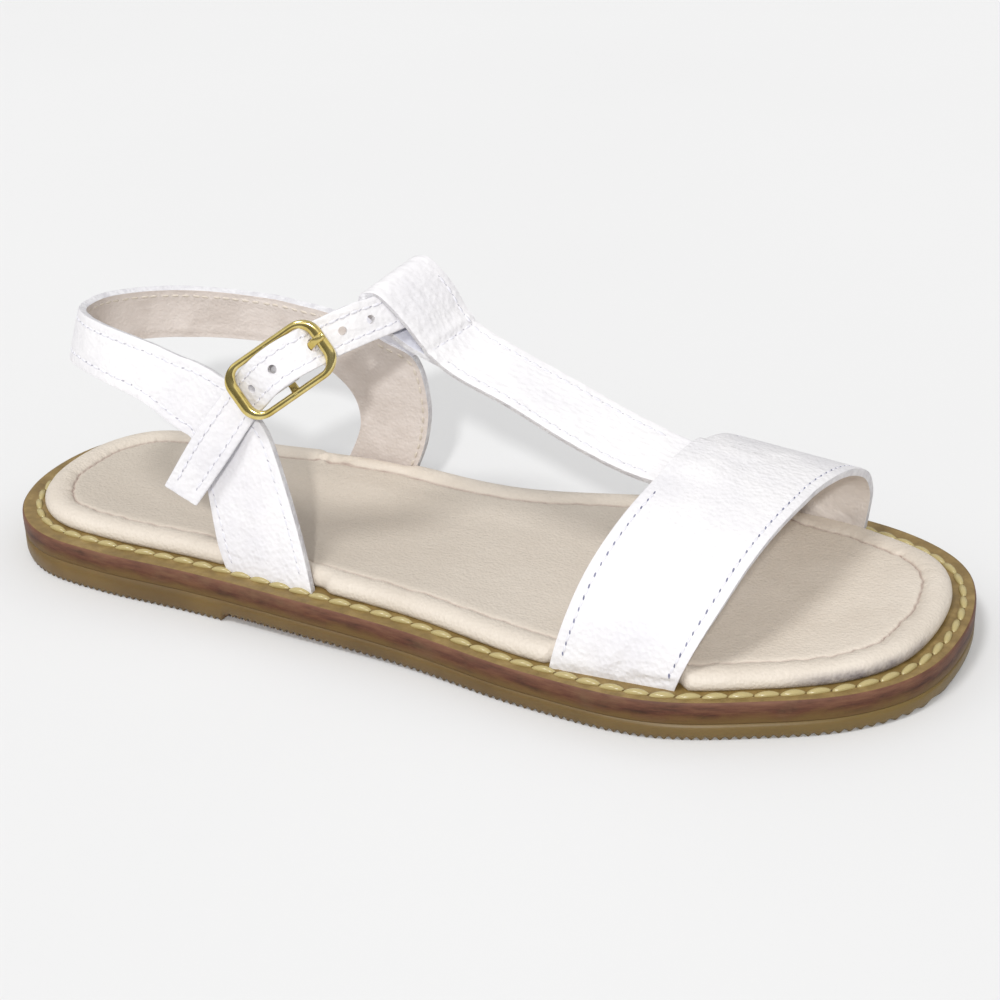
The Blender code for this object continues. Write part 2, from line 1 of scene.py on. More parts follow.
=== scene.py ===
import math
import random

import bmesh
import bpy
from mathutils import Matrix, Vector, kdtree, noise


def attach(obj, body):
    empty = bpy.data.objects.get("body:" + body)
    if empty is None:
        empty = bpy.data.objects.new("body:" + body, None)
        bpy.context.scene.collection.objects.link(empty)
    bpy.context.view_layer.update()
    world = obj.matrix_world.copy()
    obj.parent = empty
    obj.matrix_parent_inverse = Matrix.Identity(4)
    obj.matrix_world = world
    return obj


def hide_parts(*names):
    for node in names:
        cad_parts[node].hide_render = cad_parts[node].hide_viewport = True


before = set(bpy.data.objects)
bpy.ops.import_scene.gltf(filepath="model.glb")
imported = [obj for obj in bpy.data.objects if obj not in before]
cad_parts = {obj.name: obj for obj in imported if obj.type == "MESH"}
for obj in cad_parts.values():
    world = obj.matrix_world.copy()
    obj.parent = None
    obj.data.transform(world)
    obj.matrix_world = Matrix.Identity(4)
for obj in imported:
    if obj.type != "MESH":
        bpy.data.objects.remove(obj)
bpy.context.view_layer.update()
random.seed(7)
mm = 0.001

# The sole gives every other piece its place. Lengths in millimetres, x from heel to toe.
sole = dict(
    length=200.0,
    outsoleThick=3.4,
    midsoleThick=4.2,
    layerGap=0.3,
    heelLift=1.5,
    heelBreast=61.7,
    liftEnd=57.7,
    shankEnd=127.0,
    toeSpring=0.3,
    springStart=178.0,
    stations=38,
    walkSteps=1600,
    turnStep=0.002,
    rowAngle=15.0,
    halfWidths=(  # lateral and medial, a row for each angle from heel to toe
        (0.0, 0.0), (14.5, 16.0), (24.5, 27.0), (28.7, 30.0), (30.8, 28.0), (34.2, 25.0),
        (37.8, 25.5), (44.0, 31.0), (46.6, 36.5), (40.4, 35.0), (32.0, 28.5), (19.5, 17.5),
        (0.0, 0.0)),
    ledge=(  # distance from the heel, bare width of the welt
        (0.0, 5.0), (40.0, 5.4), (90.0, 5.0), (125.0, 4.2), (160.0, 3.7), (185.0, 4.0),
        (200.0, 4.5)),
    toeLedge=(0.505, 0.10, 0.63, 0.04, 3.7),  # beside the big toe: turn, run, turn, run, wider by
)


def mix(low, high, share):
    return low + (high - low) * share


def smoothStep(share):
    share = min(max(share, 0.0), 1.0)
    return share * share * (3.0 - 2.0 * share)


def ease(value, start, run):  # from 0 to 1, softly, over the run
    return smoothStep((value - start) / run)


def evenly(count):  # shares from 0 to 1 in even steps
    return [step / count for step in range(count + 1)]


def hump(value, middle, spread):
    return math.exp(-((value - middle) / spread) ** 2)


def colour(red, green, blue):  # screen values 0 to 255, made linear
    def linear(value):
        value /= 255.0
        return value / 12.92 if value < 0.04045 else ((value + 0.055) / 1.055) ** 2.4
    return (linear(red), linear(green), linear(blue), 1.0)


def lengthsAlong(points):  # running length at each point
    lengths = [0.0]
    for first, second in zip(points, points[1:]):
        lengths.append(lengths[-1] + math.dist(first, second))
    return lengths


def placeAt(lengths, goal):  # the step between two lengths in which the goal lies
    before = sum(length < goal for length in lengths)
    return min(max(before - 1, 0), len(lengths) - 2)


def tableRow(table, value, soft=False):  # a row between two rows, found by the first column
    place = placeAt([row[0] for row in table], value)
    low, high = table[place:place + 2]
    share = (value - low[0]) / (high[0] - low[0])
    if soft:
        share = smoothStep(share)
    return [mix(a, b, share) for a, b in zip(low[1:], high[1:])]


def smoothRows(rows, count):  # a smooth line through the rows, even steps along it
    knots = lengthsAlong(rows)
    last = len(rows) - 1
    slopes = []
    for index in range(last + 1):
        before, after = max(index - 1, 0), min(index + 1, last)
        span = knots[after] - knots[before]
        slopes.append([(b - a) / span for a, b in zip(rows[before], rows[after])])
    result = []
    for share in evenly(count):
        knot = knots[-1] * share
        place = placeAt(knots, knot)
        span = knots[place + 1] - knots[place]
        t = (knot - knots[place]) / span
        a, b = 2 * t ** 3 - 3 * t ** 2 + 1, (t ** 3 - 2 * t ** 2 + t) * span
        c, d = 3 * t ** 2 - 2 * t ** 3, (t ** 3 - t ** 2) * span
        result.append([a * p + b * m + c * q + d * n for p, m, q, n in zip(
            rows[place], slopes[place], rows[place + 1], slopes[place + 1])])
    return result


def halfWidth(angle, column):
    rows = sole["halfWidths"]
    last = len(rows) - 1
    place = angle / math.radians(sole["rowAngle"])
    index = min(int(place), last - 1)
    t = place - index

    def value(number):  # past heel and toe the other side goes on
        if number < 0:
            return -rows[-number][column]
        if number > last:
            return -rows[2 * last - number][column]
        return rows[number][column]

    p0, p1, p2, p3 = (value(index + k) for k in (-1, 0, 1, 2))
    second = (2 * p0 - 5 * p1 + 4 * p2 - p3) * t ** 2
    third = (3 * p1 - p0 - 3 * p2 + p3) * t ** 3
    return 0.5 * (2 * p1 + (p2 - p0) * t + second + third)


def widthAt(x, column):
    share = 1 - 2 * min(max(x, 0.0), sole["length"]) / sole["length"]
    return halfWidth(math.acos(share), column)


def outlinePoint(turn):  # 0 at the heel, along the lateral side to the toe at 0.5, then back
    turn %= 1.0
    column, side = (0, -1) if turn <= 0.5 else (1, 1)
    angle = 2 * math.pi * (turn if turn <= 0.5 else 1 - turn)
    x = sole["length"] / 2 * (1 - math.cos(angle))
    return Vector((x, side * halfWidth(angle, column)))


def inwardAt(turn):
    travel = outlinePoint(turn + sole["turnStep"]) - outlinePoint(turn - sole["turnStep"])
    return Vector((-travel.y, travel.x)).normalized()


def insetPoint(turn, depth):
    return outlinePoint(turn) + inwardAt(turn) * depth


def liftAt(x):
    start = sole["liftEnd"]
    return sole["heelLift"] * (1 - ease(x, start, sole["shankEnd"] - start))


def springAt(x):
    start = sole["springStart"]
    return sole["toeSpring"] * (max(x - start, 0.0) / (sole["length"] - start)) ** 2


def outsoleTop(x):
    return sole["outsoleThick"] + liftAt(x) + springAt(x)


def ledgeHeight(x):
    return outsoleTop(x) + sole["layerGap"] + sole["midsoleThick"]


def footHeight(x):
    return ledgeHeight(x) + sole["layerGap"]


def toeShare(turn):  # beside the big toe the footbed is set further in
    rise, riseRun, fall, fallRun = sole["toeLedge"][:4]
    turn %= 1.0
    return ease(turn, rise, riseRun) * (1 - ease(turn, fall, fallRun))


def bareWidth(turn, follow=1.0):  # how much of the welt the footbed leaves bare
    plain = tableRow(sole["ledge"], outlinePoint(turn).x, True)[0]
    return plain + follow * sole["toeLedge"][4] * toeShare(turn)


stationSides = [outlinePoint(index / (2 * sole["stations"])).y
                for index in range(2 * sole["stations"])]
shift = Vector((-sole["length"] / 2, -(min(stationSides) + max(stationSides)) / 2, 0.0))


def placed(point):  # from the sole's millimetres to the frame
    return (Vector(point) + shift) * mm


def outlineWalk(depth, pitch):  # turns at an even distance along the inset outline
    turns = evenly(sole["walkSteps"])
    lengths = lengthsAlong([insetPoint(turn, depth) for turn in turns])
    count = round(lengths[-1] / pitch)
    walked = []
    for index in range(count):
        goal = lengths[-1] * index / count
        place = placeAt(lengths, goal)
        share = (goal - lengths[place]) / (lengths[place + 1] - lengths[place])
        walked.append(mix(turns[place], turns[place + 1], share))
    return walked


# Finishes: small helpers for node trees
def feed(tree, socket, value):  # a link where the value is another node's output
    if hasattr(value, "links"):
        tree.links.new(value, socket)
    else:
        socket.default_value = value


def newFinish(name, paint, *details):
    finish = bpy.data.materials.new(name)
    finish.use_nodes = True
    tree = finish.node_tree
    for key, value in paint(tree, *details).items():
        feed(tree, tree.nodes["Principled BSDF"].inputs[key], value)
    return finish


def addNode(tree, kind, inputs=None, **settings):
    node = tree.nodes.new(kind)
    for key, value in settings.items():
        setattr(node, key, value)
    for key, value in (inputs or {}).items():
        feed(tree, node.inputs[key], value)
    return node


def objectPlace(tree, scale=(1.0, 1.0, 1.0)):
    where = addNode(tree, "ShaderNodeTexCoord").outputs["Object"]
    return addNode(tree, "ShaderNodeMapping", {"Vector": where, "Scale": scale}).outputs["Vector"]


def cloudy(tree, where, scale, detail=3.0, rough=0.55):
    return addNode(tree, "ShaderNodeTexNoise", {
        "Vector": where, "Scale": scale, "Detail": detail, "Roughness": rough}).outputs["Fac"]


def ramp(tree, value, *stops):  # a stop is its place, then a screen colour or one linear grey
    node = addNode(tree, "ShaderNodeValToRGB", {"Fac": value})
    band = node.color_ramp
    while len(band.elements) < len(stops):
        band.elements.new(0.5)
    for element, (place, *tint) in zip(band.elements, stops):
        element.position = place
        element.color = colour(*tint) if len(tint) == 3 else tint * 3 + [1.0]
    return node.outputs["Color"]


def attribute(tree, name):
    return addNode(tree, "ShaderNodeAttribute", attribute_name=name).outputs["Fac"]


def tintOver(tree, share, base, tint):
    inputs = {"Factor": share, 6: base, 7: colour(*tint)}
    return addNode(tree, "ShaderNodeMix", inputs, data_type="RGBA").outputs[2]


def ranged(tree, value, source, goal):
    return addNode(tree, "ShaderNodeMapRange", {
        "Value": value, "From Min": source[0], "From Max": source[1], "To Min": goal[0],
        "To Max": goal[1]}).outputs["Result"]


def combined(tree, first, second, operation="MULTIPLY"):
    node = addNode(tree, "ShaderNodeMath", {0: first, 1: second}, operation=operation)
    return node.outputs["Value"]


def bumpUp(tree, height, strength, distance, below=None):
    inputs = {"Height": height, "Strength": strength, "Distance": distance * mm}
    if below:
        inputs["Normal"] = below
    return addNode(tree, "ShaderNodeBump", inputs).outputs["Normal"]


def leatherPaint(tree, look):
    where = objectPlace(tree, look.get("stretch", (1.0, 1.0, 1.0)))
    pebbles = addNode(tree, "ShaderNodeTexVoronoi", {
        "Vector": where, "Scale": 1 / (look["pebble"] * mm), "Smoothness": 0.4},
        feature="SMOOTH_F1").outputs["Distance"]
    creases = cloudy(tree, where, 1 / (look["crease"] * mm), 4.0)
    grain = bumpUp(tree, pebbles, look["grain"], 0.3)
    return {
        "Base Color": ramp(tree, cloudy(tree, where, look["mottle"]),
                           (0.32, *look["shade"]), (0.62, *look["light"])),
        "Normal": bumpUp(tree, creases, look["grain"], 0.5, grain),
        "Roughness": ranged(tree, creases, (0.0, 1.0),
                            (look["rough"] - 0.07, look["rough"] + 0.09)),
        "Specular IOR Level": 0.4}


leatherKinds = dict(  # scale of the mottle, pebble and crease in millimetres, depth of the grain
    white=dict(mottle=70.0, pebble=1.0, crease=2.4, grain=0.5, rough=0.5),
    lining=dict(mottle=110.0, pebble=0.7, crease=2.0, grain=0.3, rough=0.62),
    edge=dict(mottle=420.0, pebble=0.5, crease=0.9, grain=0.4, rough=0.7),
    hole=dict(mottle=900.0, pebble=0.3, crease=0.5, grain=0.2, rough=0.8),
    pit=dict(mottle=400.0, pebble=0.5, crease=0.8, grain=0.3, rough=0.8))


def leather(name, kind, light, shade, **changes):
    look = dict(leatherKinds[kind], light=light, shade=shade, **changes)
    return newFinish(name, leatherPaint, look)


whiteLeather = leather("white leather", "white", (234, 232, 233), (224, 222, 225))
barLeather = leather("white leather drawn lengthways", "white", (234, 232, 233),
                     (224, 222, 225), stretch=(0.45, 1.0, 1.0), grain=0.6)
# the undersides' white leather, painted a cooler, darker grey that stands for the shade they lie in
shadedWhiteBacking = leather("white backing", "white", (226, 226, 234), (214, 214, 224), grain=0.3,
                       rough=0.65)
liningLeather = leather("beige lining", "lining", (221, 212, 206), (207, 197, 190))
# the toe strap's lining: the beige lining painted lighter, standing in for light under the strap
litToeLining = leather("lining painted lighter", "lining", (232, 224, 217), (219, 210, 203))
edgeLeather = leather("white cut edge", "edge", (228, 227, 229), (206, 204, 208))
# painted shade for the needle holes: dark beads on the toe strap, lighter grey ones elsewhere
needleHoleShade = leather("needle hole", "hole", (138, 140, 164), (96, 98, 122))
softHoleShade = leather("soft needle hole", "hole", (194, 192, 200), (160, 158, 170))
linedFinishes = (whiteLeather, liningLeather, edgeLeather)


def threadPaint(tree, light, shade, rough):
    where = addNode(tree, "ShaderNodeTexCoord").outputs["UV"]
    twisted = addNode(tree, "ShaderNodeMapping", {
        "Vector": where, "Scale": (3.0, 3.0, 1.0), "Rotation": (0.0, 0.0, 0.7)}).outputs["Vector"]
    # the ply stripes paint shade in the grooves between strands and highlights on their crowns
    ply = addNode(tree, "ShaderNodeTexWave", {
        "Vector": twisted, "Scale": 1.1, "Distortion": 0.6}).outputs["Fac"]
    return {"Base Color": ramp(tree, ply, (0.15, *shade), (0.75, *light)),
            "Normal": bumpUp(tree, ply, 0.5, 0.12), "Roughness": rough}


whiteThread = newFinish("white thread", threadPaint, (244, 243, 245), (226, 225, 231), 0.55)
creamThread = newFinish("cream thread", threadPaint, (232, 224, 212), (212, 203, 190), 0.6)
print("finishes ready")


# Meshes: small helpers for pieces
def meshFrom(build, name):
    mesh = bpy.data.meshes.new(name)
    build.to_mesh(mesh)
    build.free()
    return mesh


def linked(name, data):
    thing = bpy.data.objects.new(name, data)
    bpy.context.scene.collection.objects.link(thing)
    return thing


def finishPiece(name, build, finishes, slotName, *nodes):
    mesh = meshFrom(build, name)
    for finish in finishes:
        mesh.materials.append(finish)
    for face in mesh.polygons:
        face.use_smooth = True
    piece = linked(name, mesh)
    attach(piece, "root")
    if nodes:
        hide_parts(*nodes)
    print(name, len(mesh.polygons), "faces")
    return piece


def nextRing(build, edges):
    grown = bmesh.ops.extrude_edge_only(build, edges=edges)["geom"]
    verts = [item for item in grown if isinstance(item, bmesh.types.BMVert)]
    fresh = set(verts)
    kept = [item for item in grown if isinstance(item, bmesh.types.BMEdge)
            and item.verts[0] in fresh and item.verts[1] in fresh]
    return verts, kept


def soleRings(build, count, rows, shape):  # rings round the sole, each row grown from the last
    turnMark = build.verts.layers.float.new("turn")
    rowMark = build.verts.layers.float.new("row")
    verts = bmesh.ops.create_circle(build, segments=count, radius=1.0)["verts"]
    edges = list(build.edges)
    for index, vert in enumerate(verts):
        vert[turnMark] = index / count
    for number, row in enumerate(rows):
        if number:
            verts, edges = nextRing(build, edges)
        for vert in verts:
            vert[rowMark] = number / (len(rows) - 1)
            vert.co = placed(shape(vert[turnMark], row))
    return edges


def toSpine(build, edges, shares, height, spineEnds):  # closes a sole ring onto its middle line
    rims = {}
    turnMark = build.verts.layers.float["turn"]
    for vert in {vert for edge in edges for vert in edge.verts}:
        rims[round(vert[turnMark], 6)] = vert.co / mm - shift
    for share in shares:
        verts, edges = nextRing(build, edges)
        for vert in verts:
            rim = rims[round(vert[turnMark], 6)]
            x = min(max(outlinePoint(vert[turnMark]).x, spineEnds[0]), spineEnds[1])
            middle = (widthAt(x, 1) - widthAt(x, 0)) / 2
            spot = Vector((mix(rim.x, x, share), mix(rim.y, middle, share), 0.0))
            spot.z = mix(rim.z, height(spot.x, spot.y), smoothStep(share * 3))
            vert.co = placed(spot)
    bmesh.ops.remove_doubles(build, verts=build.verts, dist=0.02 * mm)


def lofted(sections):  # a surface through the sections: u along, v across
    last = len(sections) - 1
    wide = len(sections[0]) - 1

    def shape(u, v):
        u, v = min(max(u, 0.0), 1.0) * last, min(max(v, 0.0), 1.0) * wide
        row, column = min(int(u), last - 1), min(int(v), wide - 1)
        near = sections[row][column].lerp(sections[row][column + 1], v - column)
        far = sections[row + 1][column].lerp(sections[row + 1][column + 1], v - column)
        return near.lerp(far, u - row)
    return shape


def facing(shape, u, v, side):
    travel = shape(u + 0.004, v) - shape(u - 0.004, v)
    across = shape(u, v + 0.03) - shape(u, v - 0.03)
    return (across.cross(travel) * side).normalized(), travel.normalized()


def stripWidth(shape, u):
    return lengthsAlong([shape(u, v) for v in evenly(8)])[-1]


def addModifier(piece, name, kind, **settings):
    modifier = piece.modifiers.new(name, kind)
    for key, value in settings.items():
        setattr(modifier, key, value)


def leatherPiece(name, shape, side, look, rise, finishes, slotName, *nodes, trim=None):
    build = bmesh.new()
    bmesh.ops.create_grid(build, x_segments=look["steps"], y_segments=look["across"], size=0.5)
    for vert in build.verts:
        u, v = vert.co.x + 0.5, vert.co.y + 0.5
        out = facing(shape, u, v, side)[0]
        vert.co = placed(shape(u, v) + out * rise(u, v))
    if side > 0:
        bmesh.ops.reverse_faces(build, faces=build.faces)
    if trim:
        trim(build)
    piece = finishPiece(name, build, finishes, slotName, *nodes)
    addModifier(piece, "leather", "SOLIDIFY", thickness=look["thick"] * mm,
                offset=look.get("offset", -1.0), use_quality_normals=True, material_offset=1,
                material_offset_rim=2)
    addModifier(piece, "edge", "BEVEL", width=look["edgeRound"] * mm, segments=3,
                limit_method="ANGLE", angle_limit=math.radians(50.0), material=-1)
    return piece


# Seams: small rounded beads, one for each stitch and a dark one of painted shade for each needle
# hole
seamLook = dict(
    pitch=2.3, fromEdge=2.0, knots=400, stitch=(0.8, 0.3, 0.16), hole=(0.5, 0.2, 0.06), slant=0.3,
    crossHole=(0.3, 0.22, 0.05),
    pull=(0.12, 0.7), rim=(0.1, 0.5))  # how deep and wide stitches and rim draw the leather in


def beadShape(name, rings, material, bend=0.0):
    build = bmesh.new()
    bmesh.ops.create_uvsphere(build, u_segments=rings[0], v_segments=rings[1], radius=1.0,
                              matrix=Matrix.Rotation(math.pi / 2, 4, "Y"), calc_uvs=True)
    for vert in build.verts:
        vert.co.z -= bend * vert.co.x ** 2
    for face in build.faces:
        face.material_index = material
    return meshFrom(build, name)


def addBead(build, bead, middle, axes, sizes):
    turn = Matrix([axis.normalized() for axis in axes]).transposed().to_4x4()
    scale = Matrix.Diagonal((*(size * mm for size in sizes), 1.0))
    copy = bead.copy()
    copy.transform(Matrix.Translation(placed(middle)) @ turn @ scale)
    build.from_mesh(copy)
    bpy.data.meshes.remove(copy)


seamBead = beadShape("seam stitch", (7, 6), 0)
holeShadeBead = beadShape("seam hole", (6, 5), 1)


def sewEdge(build, shape, side, rise, farEdge, span, inner=0.0, fromEdge=seamLook["fromEdge"],
            holes=1.0):
    def across(u):
        share = fromEdge / stripWidth(shape, u)
        return 1 - share if farEdge else share

    knots = [mix(*span, share) for share in evenly(seamLook["knots"])]
    lengths = lengthsAlong([shape(u, across(u)) for u in knots])
    for index in range(2 * int(lengths[-1] / seamLook["pitch"]) + 1):
        u = knots[placeAt(lengths, index * seamLook["pitch"] / 2)]
        v = across(u)
        out, travel = facing(shape, u, v, side)
        lift = rise(u, v)
        if inner:
            out, lift = -out, inner - lift
        spot = shape(u, v) + out * lift
        wide = out.cross(travel)
        if index % 2:
            axes = (travel + wide * random.uniform(-0.06, 0.06), wide, out)
            addBead(build, seamBead, spot, axes, seamLook["stitch"])
        # a dark bead of painted shade in the needle hole
        elif holes:
            axis = travel + wide * (seamLook["slant"] + random.uniform(-0.12, 0.12))
            size = holes * random.uniform(0.85, 1.15)
            long, short, deep = seamLook["hole"]
            addBead(build, holeShadeBead, spot, (axis, out.cross(axis), out), (
                long * size, short * size, deep))


def sewAcross(build, shape, side, rise, start, end):  # a row from one edge to the other
    run = shape(*end) - shape(*start)
    travel = run.normalized()
    count = int(run.length / seamLook["pitch"] * 2)
    for index in range(1, count):
        u, v = (mix(a, b, index / count) for a, b in zip(start, end))
        out = facing(shape, u, v, side)[0]
        bead, sizes = (seamBead, "stitch") if index % 2 else (holeShadeBead, "crossHole")
        addBead(build, bead, shape(u, v) + out * rise(u, v), (travel, out.cross(travel), out),
                seamLook[sizes])


def seamPiece(name, shape, side, rise, seams, finishes, slotName, crossing=None, **details):
    build = bmesh.new()
    for farEdge, start, end in seams:
        sewEdge(build, shape, side, rise, farEdge, (start, end), **details)
    if crossing:
        sewAcross(build, shape, side, rise, *crossing)
    finishPiece(name, build, finishes, slotName)


def leatherRise(shape, creases=(), under=None):  # soft troughs and ridges, and the sewn edges
    lines = [(shape(*line[:2]), shape(*line[2:4]), line[4], line[5]) for line in creases]

    def rise(u, v):
        spot = shape(u, v)
        near = min(v, 1 - v) * stripWidth(shape, u)
        total = under(spot, v) if under else 0.0
        for start, end, wide, deep in lines:
            run = end - start
            share = min(max((spot - start).dot(run) / run.length_squared, 0.0), 1.0)
            total += deep * hump((spot - start.lerp(end, share)).length, 0.0, wide)
        for (depth, spread), middle in ((seamLook["pull"], seamLook["fromEdge"]),
                                        (seamLook["rim"], 0.0)):
            total -= depth * hump(near, middle, spread)
        return total
    return rise


# Outsole: gum rubber with cross ribs, a low heel and a breast
outsoleLook = dict(
    ribPitch=1.513, ribStart=31.48, ribSlant=-7.8, ribDepth=0.62, samples=6, across=12,
    breastRamp=1.5, edgeInset=0.5, endGap=0.02, outlineSteps=4800,
    side=(  # inset, height above the ribs; None is the top of the outsole
        (0.22, 0.3), (0.12, 0.8), (0.1, 1.6), (0.12, None), (6.0, None)),
    amber=(0.9, 1.5, 7.0), crest=(0.4, 2.0))  # how the colours of the underside begin at the rim


def rubberPaint(tree):
    where = objectPlace(tree)
    honey = ramp(tree, cloudy(tree, where, 45.0, 4.0), (0.3, 92, 70, 34), (0.7, 114, 90, 46))
    greener = ranged(tree, attribute(tree, "toeward"), (0.6, 1.0), (0.0, 0.6))
    side = tintOver(tree, greener, honey, (114, 94, 44))
    amber = tintOver(tree, attribute(tree, "under"), side, (150, 84, 34))
    return {"Base Color": tintOver(tree, attribute(tree, "crest"), amber, (176, 128, 70)),
            "Normal": bumpUp(tree, cloudy(tree, where, 900.0, 5.0), 0.25, 0.15),
            "Roughness": 0.45, "Subsurface Weight": 0.2,
            "Subsurface Radius": (0.003, 0.0015, 0.0005), "Subsurface Scale": 0.5}


def makeOutsole(look):
    slant = math.radians(look["ribSlant"])
    along = Vector((math.cos(slant), math.sin(slant)))
    count = look["outlineSteps"]
    edge = [insetPoint(step / count, look["edgeInset"]) for step in range(count)]
    reach = [point.dot(along) for point in edge]
    tail, tip = reach.index(min(reach)), reach.index(max(reach))
    nearSide = [edge[(tail + k) % count] for k in range((tip - tail) % count + 1)]
    farSide = [edge[(tail - k) % count] for k in range((tail - tip) % count + 1)]
    nearest = kdtree.KDTree(count)
    for index, point in enumerate(edge):
        nearest.insert((*point, 0.0), index)
    nearest.balance()

    def crossing(side, s):  # where a line across the ribs meets one side of the sole
        low, high = 0, len(side) - 1
        while high - low > 1:
            half = (low + high) // 2
            low, high = (half, high) if side[half].dot(along) < s else (low, half)
        span = side[high].dot(along) - side[low].dot(along)
        share = (s - side[low].dot(along)) / span if span else 0.0
        return side[low].lerp(side[high], min(max(share, 0.0), 1.0))

    def lifted(s):
        return ease(s, sole["heelBreast"], look["breastRamp"]) * liftAt(s)

    build = bmesh.new()
    marks = {name: build.verts.layers.float.new(name) for name in (
        "crest", "toeward", "under", "turn")}
    steps = int((max(reach) - min(reach)) / look["ribPitch"] * look["samples"])
    first, last = min(reach) + look["endGap"], max(reach) - look["endGap"]
    bmesh.ops.create_grid(build, x_segments=steps, y_segments=look["across"], size=0.5)
    amberMost, *amberEdge = look["amber"]
    for vert in build.verts:
        s = mix(first, last, vert.co.x + 0.5)
        spot = crossing(nearSide, s).lerp(crossing(farSide, s), vert.co.y + 0.5)
        valley = 0.5 - 0.5 * math.cos(2 * math.pi * (s - look["ribStart"]) / look["ribPitch"])
        vert[marks["turn"]] = nearest.find((*spot, 0.0))[1] / count
        rim = (spot - outlinePoint(vert[marks["turn"]])).length
        vert[marks["under"]] = amberMost * ease(rim, *amberEdge)
        vert[marks["crest"]] = (1 - valley) ** 2 * ease(rim, *look["crest"])
        vert[marks["toeward"]] = spot.x / sole["length"]
        vert.co = placed((*spot, lifted(s) + valley * look["ribDepth"] + springAt(spot.x)))
    edges = [item for item in build.edges if item.is_boundary]
    for depth, above in look["side"]:  # the side wall grows up from the rim of the ribs
        verts, edges = nextRing(build, edges)
        for vert in verts:
            spot = insetPoint(vert[marks["turn"]], depth)
            low = lifted(spot.dot(along)) + springAt(spot.x) + look["ribDepth"]
            height = outsoleTop(spot.x) if above is None else low + above
            vert[marks["crest"]] = vert[marks["under"]] = 0.0
            vert.co = placed((*spot, height))
    bmesh.ops.contextual_create(build, geom=edges)
    bmesh.ops.recalc_face_normals(build, faces=build.faces)
    return build


finishPiece("ribbed_outsole", makeOutsole(outsoleLook),
            (newFinish("honey gum rubber", rubberPaint),), "outsole", "outsole")

# Midsole: leatherboard edge with a sewn welt ledge
midsoleLook = dict(
    segments=420, seat=0.04, spineEnds=(30.0, 168.0), spineShares=(0.5, 1.0), ledgeRow=7.5,
    section=(  # inset from the outline, height in the board from 0 to 1, drop
        (9.0, 0.0, 0.0), (0.5, 0.0, 0.0), (0.18, 0.01, 0.0), (0.1, 0.06, 0.0), (0.06, 0.35, 0.0),
        (0.04, 0.6, 0.0), (0.06, 0.84, 0.0), (0.16, 0.93, 0.0), (0.36, 0.985, 0.0),
        (0.62, 1.0, 0.0), (1.1, 1.0, 0.0), (1.6, 1.0, 0.0), (2.4, 1.0, 0.12), (3.0, 1.0, 0.14),
        (4.4, 1.0, 0.0), (10.0, 1.0, 0.0)))


def boardPaint(tree):
    smears = cloudy(tree, objectPlace(tree, (70.0, 70.0, 420.0)), 1.5, 8.0, 0.7)
    blotches = cloudy(tree, objectPlace(tree, (1.0, 1.0, 1.6)), 110.0, 5.0, 0.6)
    level = attribute(tree, "level")
    brown = ramp(tree, smears, (0.32, 44, 24, 15), (0.5, 84, 48, 33), (0.74, 112, 76, 50))
    stain = ramp(tree, combined(tree, level, blotches, "ADD"),
                 (0.6, 0.95), (0.9, 0.2), (1.0, 0.0))  # olive at the foot, brown above it
    stained = tintOver(tree, stain, brown, (104, 80, 42))
    dusty = ramp(tree, blotches, (0.54, 0.0), (0.72, 0.5))
    dusted = tintOver(tree, dusty, stained, (110, 88, 60))
    streaks = combined(tree, ranged(tree, level, (0.45, 1.0), (0.0, 0.8)), smears)
    return {"Base Color": tintOver(tree, streaks, dusted, (140, 102, 84)),
            "Normal": bumpUp(tree, smears, 0.4, 0.2), "Roughness": 0.55,
            "Specular IOR Level": 0.25}


def ledgePaint(tree):
    fibres = cloudy(tree, objectPlace(tree), 260.0, 6.0, 0.65)
    tan = ramp(tree, fibres, (0.3, 110, 88, 46), (0.55, 136, 112, 64), (0.8, 164, 140, 90))
    return {"Base Color": tan, "Normal": bumpUp(tree, fibres, 0.35, 0.2), "Roughness": 0.5}


def makeMidsole(look):
    build = bmesh.new()
    rows = look["section"]

    def underside(x, y=0.0):
        return outsoleTop(x) + look["seat"]

    def shape(turn, row):
        depth, share, drop = row
        spot = insetPoint(turn, depth)
        return (*spot, mix(underside(spot.x), ledgeHeight(spot.x), share) - drop)

    edges = soleRings(build, look["segments"], rows, shape)
    toSpine(build, edges, look["spineShares"], lambda x, y: ledgeHeight(x), look["spineEnds"])
    edges = [edge for edge in build.edges if edge.is_boundary]
    toSpine(build, edges, look["spineShares"], underside, look["spineEnds"])
    bmesh.ops.recalc_face_normals(build, faces=build.faces)
    rowMark = build.verts.layers.float["row"]
    level = build.verts.layers.float.new("level")
    for vert in build.verts:
        vert[level] = rows[round(vert[rowMark] * (len(rows) - 1))][1]
    for face in build.faces:
        lowest = min(vert[rowMark] * (len(rows) - 1) for vert in face.verts)
        face.material_index = 1 if lowest >= look["ledgeRow"] else 0
    return build


finishPiece("midsole_board", makeMidsole(midsoleLook),
            (newFinish("brown leatherboard edge", boardPaint), newFinish("tan welt", ledgePaint)),
            "midsole", "midsole")

# Welt stitches: thick waxed thread, ends sunk in the ledge, a dark pit of painted shadow between
# each two
weltLook = dict(
    pitch=4.6, walkDepth=3.0, fromRim=1.35, follow=0.45, tipOut=(0.8, 0.505, 0.05),
    length=2.42, width=0.74, height=0.66, bend=0.42, slant=0.12, above=0.06,
    pit=(0.36, 0.3, 0.1), pitOut=0.25, pitDrop=0.05)


